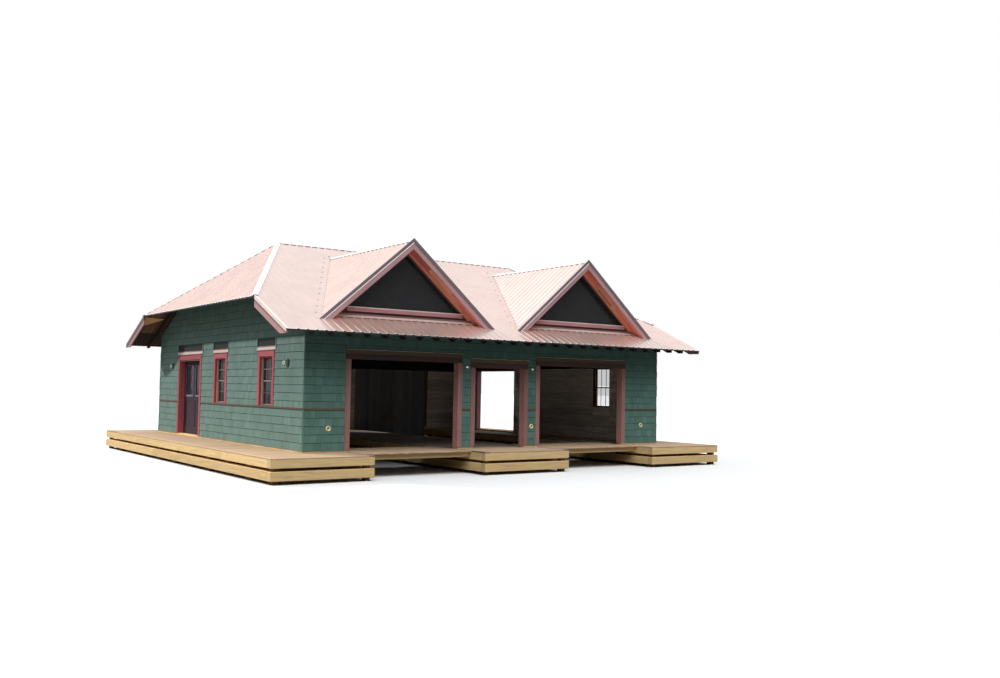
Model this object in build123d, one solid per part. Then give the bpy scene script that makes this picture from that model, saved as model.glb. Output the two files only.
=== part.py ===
from build123d import *
import math
import os

os.makedirs("parts", exist_ok=True)

# Boathouse on three timber cribs with two boat slips between them.
# Millimetres. X runs along the front, Y runs from front to back, Z is up.
# The origin is the middle of the plan at the waterline.

# Cribs and deck
freeboard = 82.0
deck_board = 32.0
deck_margin = 1310.0
timber_width = 200.0
upper_timber = 200.0
lower_timber = 220.0
course_gap = 46.0
block_length = 320.0
block_inset = 80.0
cross_spacing = 1500.0

# Walkway that closes the front ends of the slips
walkway_front = 700.0
walkway_inside = 1300.0
walkway_beam_width = 90.0
walkway_beam_depth = 140.0
walkway_beam_inset = 110.0

# Walls
wall_length = 11600.0
wall_depth = 11130.0
wall_thickness = 190.0
sill_height = 48.0
joint = 4.0

# Openings in the two long walls
bay_axis_shift = -120.0
bay_width = 3100.0
bay_head = 2190.0
passage_width = 1620.0
passage_head = 2080.0
pier_width = 555.0
jamb_board = 25.0

# Doorway and windows in the end walls
side_head = 2255.0
door_centre = 8200.0
door_width = 1860.0
door_jamb = 32.0
right_door_centre = 8150.0
right_door_width = 2400.0
right_door_head = 2190.0
leaf_thickness = 45.0
leaf_gap = 7.0
leaf_stile = 115.0
leaf_top_rail = 120.0
leaf_bottom_rail = 230.0
leaf_lock_rail = 140.0
leaf_lock_height = 1000.0
leaf_panel = 22.0
hinge_count = 3
hinge_end = 260.0
hinge_barrel = 8.0
hinge_pin = 4.5
hinge_fit = 0.3
hinge_knuckle = 34.0
hinge_plate = 3.0
hinge_plate_width = 42.0
window_width = 790.0
window_centre_near = 2280.0
window_centre_middle = 5560.0
window_sill = 1010.0
window_set_back = 60.0
sash_width = 50.0
sash_thickness = 40.0
meeting_rail_height = 1650.0
glass_thickness = 6.0

# Closed boat doors in the two back bays
boat_door_thickness = 60.0
boat_door_set_back = 60.0
boat_door_above_water = 40.0

# Casings and other trim
casing_width = 140.0
casing_thickness = 22.0
bay_head_casing = 235.0
side_head_casing = 160.0
drip_height = 22.0
drip_proud = 45.0
drip_overlap = 30.0
belt_middle = 985.0
belt_height = 46.0
belt_thickness = 28.0

# Main roof
eave_height = 2803.0
eave_overhang = 930.0
rake_overhang = 880.0
main_slope = 0.447
clip_rise = 862.0
hip_slope = 0.824
roof_build = 45.0
rafter_width = 45.0
rafter_depth = 150.0
rafter_spacing = 480.0
rafter_end_setback = 40.0
tail_drop = 110.0
outer_rafter = 200.0
ridge_board = 50.0
ridge_board_depth = 260.0
ridge_vent = 15.0

# Dormers over the two bays
dormer_peak = 5235.0
dormer_slope = 0.857
dormer_overhang = 245.0
dormer_build = 58.0
gable_recess = 80.0
gable_thickness = 100.0
gable_border = 303.0
dormer_sill_height = 222.0
dormer_sill_depth = 115.0
dormer_sill_reach = 50.0
dormer_sill_thickness = 60.0
crown_step = 60.0

# Roof trim
rake_board_thickness = 38.0
rake_board_depth = 230.0
dormer_rake_depth = 172.0
cap_width = 280.0
cap_height = 22.0

# Small fittings
lamp_radius = 52.0
lamp_depth = 45.0
lamp_height = 2085.0
lamp_from_corner = 1130.0
ring_radius = 70.0
ring_bore = 34.0
ring_depth = 25.0
ring_height = 520.0
left_ring_share = 0.605
right_ring_share = 0.505

# Levels
lower_bottom = freeboard
lower_top = lower_bottom + lower_timber
upper_bottom = lower_top + course_gap
timber_top = upper_bottom + upper_timber
deck_height = timber_top + deck_board
base = deck_height + sill_height

# Plan
half_length = wall_length / 2
half_depth = wall_depth / 2
deck_x = half_length + deck_margin
deck_y = half_depth + deck_margin
front_face = -half_depth
front_inner = front_face + wall_thickness
roof_x = half_length + rake_overhang
roof_y = half_depth + eave_overhang

# Roof levels
eave_z = base + eave_height
ridge_z = eave_z + main_slope * roof_y
hip_eave_z = eave_z + clip_rise
tail_level = eave_z - tail_drop
hip_corner_y = roof_y - (hip_eave_z - eave_z) / main_slope
ridge_half = roof_x - (ridge_z - hip_eave_z) / hip_slope
peak_z = base + dormer_peak

# Openings along the front
passage_left = bay_axis_shift - passage_width / 2
passage_right = bay_axis_shift + passage_width / 2
bay_1_right = passage_left - pier_width
bay_1_left = bay_1_right - bay_width
bay_3_left = passage_right + pier_width
bay_3_right = bay_3_left + bay_width
front_openings = [
    (bay_1_left, bay_1_right, bay_head),
    (passage_left, passage_right, passage_head),
    (bay_3_left, bay_3_right, bay_head),
]
slips = [(bay_1_left, bay_1_right), (bay_3_left, bay_3_right)]
cribs = [(-deck_x, bay_1_left), (bay_1_right, bay_3_left), (bay_3_right, deck_x)]
dormer_axes = [(bay_1_left + bay_1_right) / 2, (bay_3_left + bay_3_right) / 2]


def block(x0, x1, y0, y1, z0, z1):
    corner = Pos(x0, y0, z0)
    return corner * Box(x1 - x0, y1 - y0, z1 - z0, align=(Align.MIN, Align.MIN, Align.MIN))


def prism_x(points, x0, x1):
    face = Plane.YZ.offset(x0) * Polygon(*points, align=None)
    return extrude(face, amount=x1 - x0, dir=(1, 0, 0))


def prism_y(points, y0, y1):
    face = Plane.XZ.offset(-y0) * Polygon(*points, align=None)
    return extrude(face, amount=y1 - y0, dir=(0, 1, 0))


def prism_z(points, z0, z1):
    face = Plane.XY.offset(z0) * Polygon(*points, align=None)
    return extrude(face, amount=z1 - z0, dir=(0, 0, 1))


def to_back(shape):
    return mirror(shape, about=Plane.XZ)


def to_right(shape):
    return mirror(shape, about=Plane.YZ)


def itself(shape):
    return shape


def both_faces(shapes):
    return shapes + [to_back(shape) for shape in shapes]


def save(name, shapes):
    solids = [solid for shape in shapes for solid in shape.solids()]
    whole = Compound(children=solids) if len(solids) > 1 else solids[0]
    export_step(whole, "parts/" + name + ".step")


def main_z(y):
    return ridge_z - main_slope * abs(y)


def main_y(z):
    return -(ridge_z - z) / main_slope


def under_roof(drop):
    slopes = [
        (-roof_y, 0),
        (-roof_y, eave_z - drop),
        (0, ridge_z - drop),
        (roof_y, eave_z - drop),
        (roof_y, 0),
    ]
    hips = [
        (-roof_x, 0),
        (-roof_x, hip_eave_z - drop),
        (-ridge_half, ridge_z - drop),
        (ridge_half, ridge_z - drop),
        (roof_x, hip_eave_z - drop),
        (roof_x, 0),
    ]
    return prism_x(slopes, -roof_x, roof_x) & prism_y(hips, -roof_y, roof_y)


roof_top = under_roof(0)
above_tails = block(-roof_x, roof_x, -roof_y, roof_y, tail_level, ridge_z)
roof_under = under_roof(roof_build)
roof_shell = roof_top - roof_under

# Cribs: squared timbers in two courses, blocks between them and down to the water
side_timbers = []
end_timbers = []
cross_timbers = []
blocks = []
cross_bays = math.ceil(2 * deck_y / cross_spacing)
cross_step = (2 * deck_y - timber_width) / cross_bays
cross_lines = [-deck_y + timber_width / 2 + cross_step * i for i in range(cross_bays + 1)]
for left, right in cribs:
    for bottom, top in ((lower_bottom, lower_top), (upper_bottom, timber_top)):
        for x in (left, right - timber_width):
            side_timbers.append(block(x, x + timber_width, timber_width - deck_y, deck_y - timber_width, bottom, top))
        for y in (-deck_y, deck_y - timber_width):
            end_timbers.append(block(left, right, y, y + timber_width, bottom, top))
        for y in cross_lines[1:-1]:
            cross_timbers.append(
                block(left + timber_width, right - timber_width, y - timber_width / 2, y + timber_width / 2, bottom, top)
            )
    for bottom, top in ((0, lower_bottom), (lower_top, upper_bottom)):
        for x0, x1 in (
            (left + block_inset, left + timber_width),
            (right - timber_width, right - block_inset),
        ):
            for y in cross_lines:
                y0 = max(y - block_length / 2, block_inset - deck_y)
                y1 = min(y + block_length / 2, deck_y - block_inset)
                blocks.append(block(x0, x1, y0, y1, bottom, top))

# Walkway across the slips
walkway = []
walkway_y0 = front_face - walkway_front
walkway_y1 = front_face + walkway_inside
for left, right in slips:
    walkway.append(block(left, right, walkway_y0, walkway_y1, timber_top, deck_height))
    for y in (walkway_y0 + walkway_beam_inset, walkway_y1 - walkway_beam_inset - walkway_beam_width):
        cross_timbers.append(
            block(left, right, y, y + walkway_beam_width, timber_top - walkway_beam_depth, timber_top)
        )

deck = [block(left, right, -deck_y, deck_y, timber_top, deck_height) for left, right in cribs]

save("crib_blocks", blocks)
save("crib_side_timbers", side_timbers)
save("crib_end_timbers", end_timbers)
save("crib_cross_timbers", cross_timbers)
save("deck_slabs", deck)
save("walkway_slabs", walkway)

# Rafters on both slopes, with short ones where the dormers open the roof
opening_drop = peak_z - dormer_build
gable_back = front_face + gable_recess + gable_thickness


def open_half_width(y):
    return (opening_drop - main_z(y)) / dormer_slope


def open_y(distance):
    return main_y(opening_drop - dormer_slope * distance)


def rafter(x, y0, y1):
    drop = roof_build + rafter_depth
    points = [
        (y0, main_z(y0) - roof_build),
        (y1, main_z(y1) - roof_build),
        (y1, main_z(y1) - drop),
        (y0, main_z(y0) - drop),
    ]
    return prism_x(points, x - rafter_width / 2, x + rafter_width / 2) & roof_under & above_tails


rafter_count = int((wall_length - 2 * wall_thickness) // rafter_spacing)
rafter_start = -rafter_spacing * rafter_count / 2
tail_y = rafter_end_setback - roof_y
rafters = []
rafter_lines = [rafter_start + rafter_spacing * i for i in range(rafter_count + 1)]
rafter_lines += [-half_length - outer_rafter, half_length + outer_rafter]
for x in rafter_lines:
    near = min(abs(x - axis) for axis in dormer_axes) - rafter_width
    if near < open_half_width(gable_back):
        rafters.append(rafter(x, tail_y, gable_back))
        rafters.append(rafter(x, open_y(max(near, 0)) + rafter_width, -ridge_board / 2))
    else:
        rafters.append(rafter(x, tail_y, -ridge_board / 2))
rafters = both_faces(rafters)
save("rafters", rafters)

ridge_end = ridge_half - ridge_board_depth
ridge = block(-ridge_end, ridge_end, -ridge_board / 2, ridge_board / 2, ridge_z - ridge_board_depth, ridge_z)
save("ridge_beam", [ridge & roof_under])

# Long walls: panels and piers between the openings, one header over all
panel_edges = [-half_length]
for left, right, head in front_openings:
    panel_edges += [left - jamb_board, right + jamb_board]
panel_edges.append(half_length)
panels = []
plates = []
for left, right in zip(panel_edges[0::2], panel_edges[1::2]):
    panels.append(block(left, right, front_face, front_inner, base, base + bay_head))
    plates.append(block(left, right, front_face, front_inner, deck_height, base))
header = block(-half_length, half_length, front_face, front_inner, base + bay_head, ridge_z) & roof_under
for timber in rafters:
    header = header - timber
save("front_wall", panels)
save("back_wall", [to_back(shape) for shape in panels])
save("front_header", [header])
save("back_header", [to_back(header)])

# End walls: the left one has two windows and a doorway, the right one a window and a wider doorway
door_y0 = front_face + door_centre - door_width / 2
door_y1 = door_y0 + door_width
right_door_y0 = front_face + right_door_centre - right_door_width / 2
right_door_y1 = right_door_y0 + right_door_width
outer_x = -half_length
inner_x = outer_x + wall_thickness
left_windows = [front_face + window_centre_near, front_face + window_centre_middle]
right_windows = [front_face + window_centre_near]


def end_panel(y0, y1, windows):
    panel = block(outer_x, inner_x, y0, y1, base, base + side_head)
    for y in windows:
        half = window_width / 2
        panel = panel - block(outer_x, inner_x, y - half, y + half, base + window_sill, base + side_head)
    return panel


def end_wall(y0, y1, windows):
    return [end_panel(front_inner, y0, windows), end_panel(y1, -front_inner, [])]


gable = block(outer_x, inner_x, front_inner, -front_inner, base + side_head, ridge_z) & roof_under
save("left_wall", end_wall(door_y0, door_y1, left_windows))
save("right_wall", [to_right(panel) for panel in end_wall(right_door_y0, right_door_y1, right_windows)])
save("gable_walls", [gable, to_right(gable)])

end_plate = block(outer_x, inner_x, front_inner + joint, -front_inner - joint, deck_height, base)
save("sill_plates", both_faces(plates) + [end_plate, to_right(end_plate)])

# Boards that line the openings
liners = []
heads = []
for left, right, head in front_openings:
    liners.append(block(left - jamb_board, left, front_face, front_inner, base, base + bay_head))
    liners.append(block(right, right + jamb_board, front_face, front_inner, base, base + bay_head))
heads.append(block(passage_left, passage_right, front_face, front_inner, base + passage_head, base + bay_head))


def doorway_boards(y0, y1, head):
    sides = [
        block(outer_x, inner_x, y0, y0 + door_jamb, base, base + side_head),
        block(outer_x, inner_x, y1 - door_jamb, y1, base, base + side_head),
    ]
    return sides, block(outer_x, inner_x, y0 + door_jamb, y1 - door_jamb, head, base + side_head)


left_sides, left_top = doorway_boards(door_y0, door_y1, base + side_head - door_jamb)
right_sides, right_top = doorway_boards(right_door_y0, right_door_y1, base + right_door_head)
save("jamb_liners", both_faces(liners) + left_sides + [to_right(side) for side in right_sides])
save("opening_heads", both_faces(heads) + [left_top, to_right(right_top)])

# Boat doors: two leaves in each back bay, shut, reaching down between the cribs
boat_door_y1 = -front_face - boat_door_set_back
boat_door_y0 = boat_door_y1 - boat_door_thickness
boat_doors = []
for left, right in slips:
    middle = (left + right) / 2
    for x0, x1 in ((left, middle - joint / 2), (middle + joint / 2, right)):
        boat_doors.append(block(x0, x1, boat_door_y0, boat_door_y1, boat_door_above_water, base + bay_head))
save("boat_doors", boat_doors)

# Casings, drip caps and the belt
casing_y = front_face - casing_thickness
jambs = []
head_boards = []
drips = []
for left, right, head in front_openings:
    for x in (left - casing_width, right):
        jambs.append(block(x, x + casing_width, casing_y, front_face, base, base + head))
    top = base + head + bay_head_casing
    head_boards.append(block(left - casing_width, right + casing_width, casing_y, front_face, base + head, top))
    drips.append(
        block(
            left - casing_width - drip_overlap / 2,
            right + casing_width + drip_overlap / 2,
            front_face - drip_proud,
            front_face,
            top,
            top + drip_height,
        )
    )
jambs = both_faces(jambs)
head_boards = both_faces(head_boards)
drips = both_faces(drips)
casing_x = outer_x - casing_thickness
head_top = base + side_head + side_head_casing


def side_drip(y0, y1):
    return block(
        outer_x - drip_proud, outer_x, y0 - drip_overlap, y1 + drip_overlap, head_top, head_top + drip_height
    )


def doorway_casing(y0, y1):
    sides = [
        block(casing_x, outer_x, y0 - casing_width, y0, base, base + side_head),
        block(casing_x, outer_x, y1, y1 + casing_width, base, base + side_head),
    ]
    return sides, block(casing_x, outer_x, y0 - casing_width, y1 + casing_width, base + side_head, head_top)


def side_belts(y0, y1):
    belt_x = outer_x - belt_thickness
    return [
        block(belt_x, outer_x, front_face + joint, y0 - casing_width, belt_z0, belt_z1),
        block(belt_x, outer_x, y1 + casing_width, -front_face - joint, belt_z0, belt_z1),
    ]


belt_z0 = base + belt_middle - belt_height / 2
belt_z1 = base + belt_middle + belt_height / 2
belt_sides = []
for y0, y1, side in ((door_y0, door_y1, itself), (right_door_y0, right_door_y1, to_right)):
    casing_sides, casing_head = doorway_casing(y0, y1)
    jambs += [side(board) for board in casing_sides]
    head_boards.append(side(casing_head))
    drips.append(side(side_drip(y0 - casing_width, y1 + casing_width)))
    belt_sides += [side(board) for board in side_belts(y0, y1)]
save("jamb_casings", jambs)
save("head_casings", head_boards)

belt_fronts = []
belt_edges = [-half_length]
for left, right, head in front_openings:
    belt_edges += [left - casing_width, right + casing_width]
belt_edges.append(half_length)
for left, right in zip(belt_edges[0::2], belt_edges[1::2]):
    belt_fronts.append(block(left, right, front_face - belt_thickness, front_face, belt_z0, belt_z1))
save("belt_boards", both_faces(belt_fronts) + belt_sides)

# Windows: casing outside, two fixed lights in one sash, glass
window_bottom = base + window_sill
window_top = base + side_head
sash_x0 = outer_x + window_set_back
sash_x1 = sash_x0 + sash_thickness
glass_x0 = sash_x0 + (sash_thickness - glass_thickness) / 2


def window(y):
    y0 = y - window_width / 2
    y1 = y + window_width / 2
    lights = []
    for z0, z1 in (
        (window_bottom + sash_width, base + meeting_rail_height - sash_width / 2),
        (base + meeting_rail_height + sash_width / 2, window_top - sash_width),
    ):
        lights.append((y0 + sash_width, y1 - sash_width, z0, z1))
    sash = block(sash_x0, sash_x1, y0, y1, window_bottom, window_top)
    panes = []
    for light in lights:
        sash = sash - block(sash_x0, sash_x1, *light)
        panes.append(block(glass_x0, glass_x0 + glass_thickness, *light))
    casing = block(casing_x, outer_x, y0 - casing_width, y1 + casing_width, belt_z1, head_top)
    casing = casing - block(casing_x, outer_x, y0, y1, belt_z1, window_top)
    return casing, sash, panes, side_drip(y0 - casing_width, y1 + casing_width)


window_casings = []
window_sashes = []
glass = []
for side, centres in ((itself, left_windows), (to_right, right_windows)):
    for y in centres:
        casing, sash, panes, drip = window(y)
        window_casings.append(side(casing))
        window_sashes.append(side(sash))
        glass += [side(pane) for pane in panes]
        drips.append(side(drip))
save("window_casings", window_casings)
save("window_sashes", window_sashes)
save("drip_caps", drips)

# Door leaves, hinged on the two jambs and flush with the inside face
leaf_x0 = inner_x - leaf_thickness
leaf_z0 = base + leaf_gap
leaf_z1 = base + side_head - door_jamb - leaf_gap
leaf_middle = (door_y0 + door_y1) / 2


def leaf(y0, y1):
    body = block(leaf_x0, inner_x, y0, y1, leaf_z0, leaf_z1)
    rail = base + leaf_lock_height
    light = (y0 + leaf_stile, y1 - leaf_stile, rail + leaf_lock_rail, leaf_z1 - leaf_top_rail)
    lower = (y0 + leaf_stile, y1 - leaf_stile, leaf_z0 + leaf_bottom_rail, rail)
    recess = (leaf_thickness - leaf_panel) / 2
    body = body - block(leaf_x0, inner_x, *light)
    body = body - block(leaf_x0, leaf_x0 + recess, *lower)
    body = body - block(inner_x - recess, inner_x, *lower)
    pane_x = leaf_x0 + (leaf_thickness - glass_thickness) / 2
    return body, block(pane_x, pane_x + glass_thickness, *light)


near_leaf, near_pane = leaf(door_y0 + door_jamb + leaf_gap, leaf_middle - leaf_gap / 2)
far_leaf, far_pane = leaf(leaf_middle + leaf_gap / 2, door_y1 - door_jamb - leaf_gap)

# Hinges on the inside face: the pin, middle knuckle and one plate stay on the jamb
hinge_x = inner_x + hinge_barrel + hinge_fit
near_hinge_y = door_y0 + door_jamb + leaf_gap / 2
far_hinge_y = door_y1 - door_jamb - leaf_gap / 2
hinge_step = (leaf_z1 - leaf_z0 - 2 * hinge_end) / (hinge_count - 1)


def barrel(y, z0, z1, radius):
    return Pos(hinge_x, y, z0) * Cylinder(radius, z1 - z0, align=(Align.CENTER, Align.CENTER, Align.MIN))


door_hinges = []
for hinge_y, side in ((near_hinge_y, 1), (far_hinge_y, -1)):
    for i in range(hinge_count):
        middle = leaf_z0 + hinge_end + hinge_step * i
        low_z = middle - hinge_knuckle / 2
        high_z = middle + hinge_knuckle / 2
        end_0 = low_z - hinge_knuckle
        end_1 = high_z + hinge_knuckle
        fixed_ends = sorted((hinge_y - side * hinge_plate_width, hinge_y))
        moving_ends = sorted((hinge_y + side * hinge_plate_width, hinge_y))
        fixed = block(inner_x, inner_x + hinge_plate, *fixed_ends, end_0, end_1)
        moving = block(inner_x, inner_x + hinge_plate, *moving_ends, end_0, end_1)
        for z0, z1 in ((end_0, low_z - hinge_fit), (high_z + hinge_fit, end_1)):
            fixed = fixed - barrel(hinge_y, z0 - hinge_fit, z1 + hinge_fit, hinge_barrel + hinge_fit)
            moving = moving + barrel(hinge_y, z0, z1, hinge_barrel)
        fixed = fixed + barrel(hinge_y, low_z, high_z, hinge_barrel) + barrel(hinge_y, end_0, end_1, hinge_pin)
        moving = moving - barrel(hinge_y, low_z - hinge_fit, high_z + hinge_fit, hinge_barrel + hinge_fit)
        moving = moving - barrel(hinge_y, end_0, end_1, hinge_pin + hinge_fit)
        door_hinges.append(fixed)
        if side > 0:
            near_leaf = near_leaf + moving
        else:
            far_leaf = far_leaf + moving
save("door_hinges", door_hinges)
save("leaf_near", [near_leaf])
save("leaf_near_glass", [near_pane])
save("leaf_far", [far_leaf])
save("leaf_far_glass", [far_pane])

# Main roof skin in flat pieces around the dormer openings
crown_y = open_y(0) - crown_step


def hip_x(y):
    return roof_x - (main_z(y) - hip_eave_z) / hip_slope


def roof_piece(points):
    return prism_z(points, base, ridge_z + roof_build) & roof_shell


skirt = roof_piece([(-roof_x, -roof_y), (roof_x, -roof_y), (roof_x, gable_back), (-roof_x, gable_back)])
low = open_half_width(gable_back)
high = open_half_width(crown_y)
axis_1, axis_2 = dormer_axes
left_field = [
    (-roof_x, gable_back),
    (axis_1 - low, gable_back),
    (axis_1 - high, crown_y),
    (-hip_x(crown_y), crown_y),
    (-roof_x, -hip_corner_y),
]
middle_field = [
    (axis_1 + low, gable_back),
    (axis_2 - low, gable_back),
    (axis_2 - high, crown_y),
    (axis_1 + high, crown_y),
]
right_field = [
    (axis_2 + low, gable_back),
    (roof_x, gable_back),
    (roof_x, -hip_corner_y),
    (hip_x(crown_y), crown_y),
    (axis_2 + high, crown_y),
]
fields = [roof_piece(points) for points in (left_field, middle_field, right_field)]
vent_x = hip_x(-ridge_vent)
crown = roof_piece([(-hip_x(crown_y), crown_y), (hip_x(crown_y), crown_y), (vent_x, -ridge_vent), (-vent_x, -ridge_vent)])
hip = roof_piece([(-roof_x, -hip_corner_y), (-ridge_half, 0), (-roof_x, hip_corner_y)])
save("roof_skirts", both_faces([skirt]))
save("roof_fields", both_faces(fields))
save("roof_crowns", both_faces([crown]))
save("roof_hips", [hip, to_right(hip)])

# Dormers
dormer_face = front_face - dormer_overhang
dormer_back = main_y(peak_z)
dormer_reach = (peak_z - main_z(dormer_face)) / dormer_slope + roof_build


def dormer_band(axis, side, drop, depth):
    edge = axis + side * dormer_reach
    low_z = peak_z - dormer_slope * dormer_reach
    return [
        (axis, peak_z - drop),
        (edge, low_z - drop),
        (edge, low_z - drop - depth),
        (axis, peak_z - drop - depth),
    ]


slopes = {-1: [], 1: []}
rakes = []
gables = []
dormer_sills = []
dormer_panes = []
dormer_caps = []
for axis in dormer_axes:
    for side in (-1, 1):
        skin = prism_y(dormer_band(axis, side, 0, dormer_build), dormer_face, dormer_back) - roof_top
        slopes[side].append(skin)
        board_y = dormer_face + rake_board_thickness
        board = prism_y(dormer_band(axis, side, dormer_build, dormer_rake_depth), dormer_face, board_y) - roof_top
        rakes.append(board - block(axis - joint, axis + joint, dormer_face, board_y, eave_z, peak_z))
    gable_y = gable_back - gable_thickness
    inner_z = peak_z - dormer_build
    outline = [
        (axis - dormer_reach, inner_z - dormer_slope * dormer_reach),
        (axis, inner_z),
        (axis + dormer_reach, inner_z - dormer_slope * dormer_reach),
    ]
    sill_z = main_z(gable_y) + dormer_sill_height
    hole_top = inner_z - gable_border
    hole_half = (hole_top - sill_z) / dormer_slope
    hole = [(axis - hole_half, sill_z), (axis, hole_top), (axis + hole_half, sill_z)]
    wall = prism_y(outline, gable_y, gable_back) - roof_top
    gables.append(wall - prism_y(hole, gable_y, gable_back))
    pane_y = gable_y + (gable_thickness - glass_thickness) / 2
    dormer_panes.append(prism_y(hole, pane_y, pane_y + glass_thickness))
    beam_half = hole_half + dormer_sill_reach
    beam_front = gable_y - dormer_sill_thickness
    beam = block(axis - beam_half, axis + beam_half, beam_front, gable_y, sill_z - dormer_sill_depth, sill_z)
    dormer_sills.append(beam)
save("dormer_slopes_left", both_faces(slopes[-1]))
save("dormer_slopes_right", both_faces(slopes[1]))
save("dormer_rakes", both_faces(rakes))
save("dormer_gables", both_faces(gables))
save("dormer_sills", both_faces(dormer_sills))
save("glass_panes", glass + both_faces(dormer_panes))

# Rake boards under the roof's end edges, from the eaves up to the clipped gables
board_band = (under_roof(roof_build) - under_roof(roof_build + rake_board_depth)) & block(
    -roof_x, rake_board_thickness - roof_x, -roof_y, roof_y, 0, ridge_z
)
rake_board = board_band & block(-roof_x, 0, -roof_y, -hip_corner_y, tail_level, ridge_z)
save("rake_boards", both_faces([rake_board, to_right(rake_board)]))

# Ridge and hip caps
cap_half = cap_width / 2
cap_profile = [
    (-cap_half, ridge_z - main_slope * cap_half),
    (0, ridge_z),
    (cap_half, ridge_z - main_slope * cap_half),
    (cap_half, ridge_z - main_slope * cap_half + cap_height),
    (0, ridge_z + cap_height),
    (-cap_half, ridge_z - main_slope * cap_half + cap_height),
]
ridge_cap = prism_x(cap_profile, -ridge_half, ridge_half)
for axis in dormer_axes:
    profile = [
        (axis - cap_half, peak_z - dormer_slope * cap_half),
        (axis, peak_z),
        (axis + cap_half, peak_z - dormer_slope * cap_half),
        (axis + cap_half, peak_z - dormer_slope * cap_half + cap_height),
        (axis, peak_z + cap_height),
        (axis - cap_half, peak_z - dormer_slope * cap_half + cap_height),
    ]
    dormer_caps.append(prism_y(profile, dormer_face, dormer_back) - roof_top)
save("ridge_caps", [ridge_cap] + both_faces(dormer_caps))

hip_run = math.hypot(roof_x - ridge_half, hip_corner_y)
along_x = (roof_x - ridge_half) / hip_run
along_y = hip_corner_y / hip_run
side_x = -along_y * cap_half
side_y = along_x * cap_half
strip = [
    (-ridge_half - side_x, side_y),
    (-ridge_half + side_x, -side_y),
    (-roof_x + side_x, -hip_corner_y - side_y),
    (-roof_x - side_x, -hip_corner_y + side_y),
]
raised = under_roof(-cap_height) - roof_top
hip_cap = raised & prism_z(strip, base, ridge_z + cap_height)
hip_cap = hip_cap & block(-roof_x, -ridge_half, -roof_y, -cap_half, base, ridge_z + cap_height)
hip_caps = [hip_cap, to_right(hip_cap)]
save("hip_caps", both_faces(hip_caps))

# Round lamp boxes and cover rings
lamps = []
for x in ((bay_1_right + passage_left) / 2, (passage_right + bay_3_left) / 2):
    lamp = Pos(x, front_face, base + lamp_height) * Rot(90, 0, 0)
    lamps.append(lamp * Cylinder(lamp_radius, lamp_depth, align=(Align.CENTER, Align.CENTER, Align.MIN)))
lamps = both_faces(lamps)
for y in (front_face + lamp_from_corner, -front_face - lamp_from_corner):
    lamp = Pos(outer_x, y, base + lamp_height) * Rot(0, -90, 0)
    lamp = lamp * Cylinder(lamp_radius, lamp_depth, align=(Align.CENTER, Align.CENTER, Align.MIN))
    lamps += [lamp, to_right(lamp)]
save("lamp_boxes", lamps)

left_panel = bay_1_left - casing_width + half_length
right_panel = half_length - bay_3_right - casing_width
ring_lines = [
    left_panel * left_ring_share - half_length,
    (passage_right + bay_3_left) / 2,
    bay_3_right + casing_width + right_panel * right_ring_share,
]
rings = []
for x in ring_lines:
    ring = Cylinder(ring_radius, ring_depth, align=(Align.CENTER, Align.CENTER, Align.MIN))
    ring = ring - Cylinder(ring_bore, ring_depth, align=(Align.CENTER, Align.CENTER, Align.MIN))
    rings.append(Pos(x, front_face, base + ring_height) * Rot(90, 0, 0) * ring)
save("cover_rings", rings)
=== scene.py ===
import math
import random
from itertools import product

import bpy
from mathutils import Matrix, Vector


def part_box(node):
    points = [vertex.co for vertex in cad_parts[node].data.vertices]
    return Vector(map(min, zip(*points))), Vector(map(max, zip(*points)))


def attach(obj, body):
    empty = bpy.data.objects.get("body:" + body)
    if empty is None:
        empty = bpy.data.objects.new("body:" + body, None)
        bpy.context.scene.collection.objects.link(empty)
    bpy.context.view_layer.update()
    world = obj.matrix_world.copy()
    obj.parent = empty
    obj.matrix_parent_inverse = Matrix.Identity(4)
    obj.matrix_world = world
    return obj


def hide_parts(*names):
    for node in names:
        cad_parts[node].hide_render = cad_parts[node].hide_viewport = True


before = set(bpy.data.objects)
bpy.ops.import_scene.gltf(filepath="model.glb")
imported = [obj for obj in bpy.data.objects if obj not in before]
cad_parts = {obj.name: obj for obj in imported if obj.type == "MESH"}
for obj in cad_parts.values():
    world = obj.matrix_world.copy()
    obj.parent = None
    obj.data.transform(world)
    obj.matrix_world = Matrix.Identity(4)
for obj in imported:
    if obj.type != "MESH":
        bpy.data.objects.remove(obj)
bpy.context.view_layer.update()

chance = random.Random(7)

# Metres throughout. X runs along the front, Y from front to back, Z up, the waterline is at 0.

# Cribs and decks
TIMBER_LENGTH = 4.9
BOARD_LENGTH = 4.2
SAW_GAP = 0.005
WHOLE_SHARE = 1.4
STUB_SHARE = 0.3
GAP_TRIM = 0.012
COURSE_REACH = 0.02
DECK_BOARD = 0.138
DECK_GAP = 0.006
DECK_CHAMFER = 0.004
DECK_UNEVEN = 0.002

# Shingles and the bare patches in them
SHINGLE_EXPOSURE = 0.196
SHINGLE_BUTT = 0.016
SHINGLE_TOP = 0.004
SHINGLE_LAP = 0.012
SHINGLE_GAP = 0.004
SHINGLE_WIDTHS = (0.085, 0.21)
# Height of the band under each butt that is painted dark as its shade
SHINGLE_SHADE_BAND = 0.013
SHINGLE_UNEVEN = (-0.004, 0.003)
SHORTEST_SHINGLE = 0.015
NARROWEST_SHINGLE = 0.0595
SMALLEST_PIECE = 0.01
WALL_BITE = 0.001
BARE_PATCH_HEIGHT = 0.30
BARE_PATCH_OVER = 0.07
PATCH_EDGE = 0.024
HEAD_FLASHING = 0.075
BARE_BOARD_OVER = 0.030
RAFTER_DEPTH = 0.155

# Inside boards, casings and drip caps
INNER_BOARD = 0.182
INNER_BOARD_THICKNESS = 0.012
INNER_GAP = 0.004
NARROWEST_BOARD = 0.02
HEAD_SPLIT = 0.56
HEAD_STEP = 0.007
DRIP_LIP = 0.012
DRIP_METAL = 0.004

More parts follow.
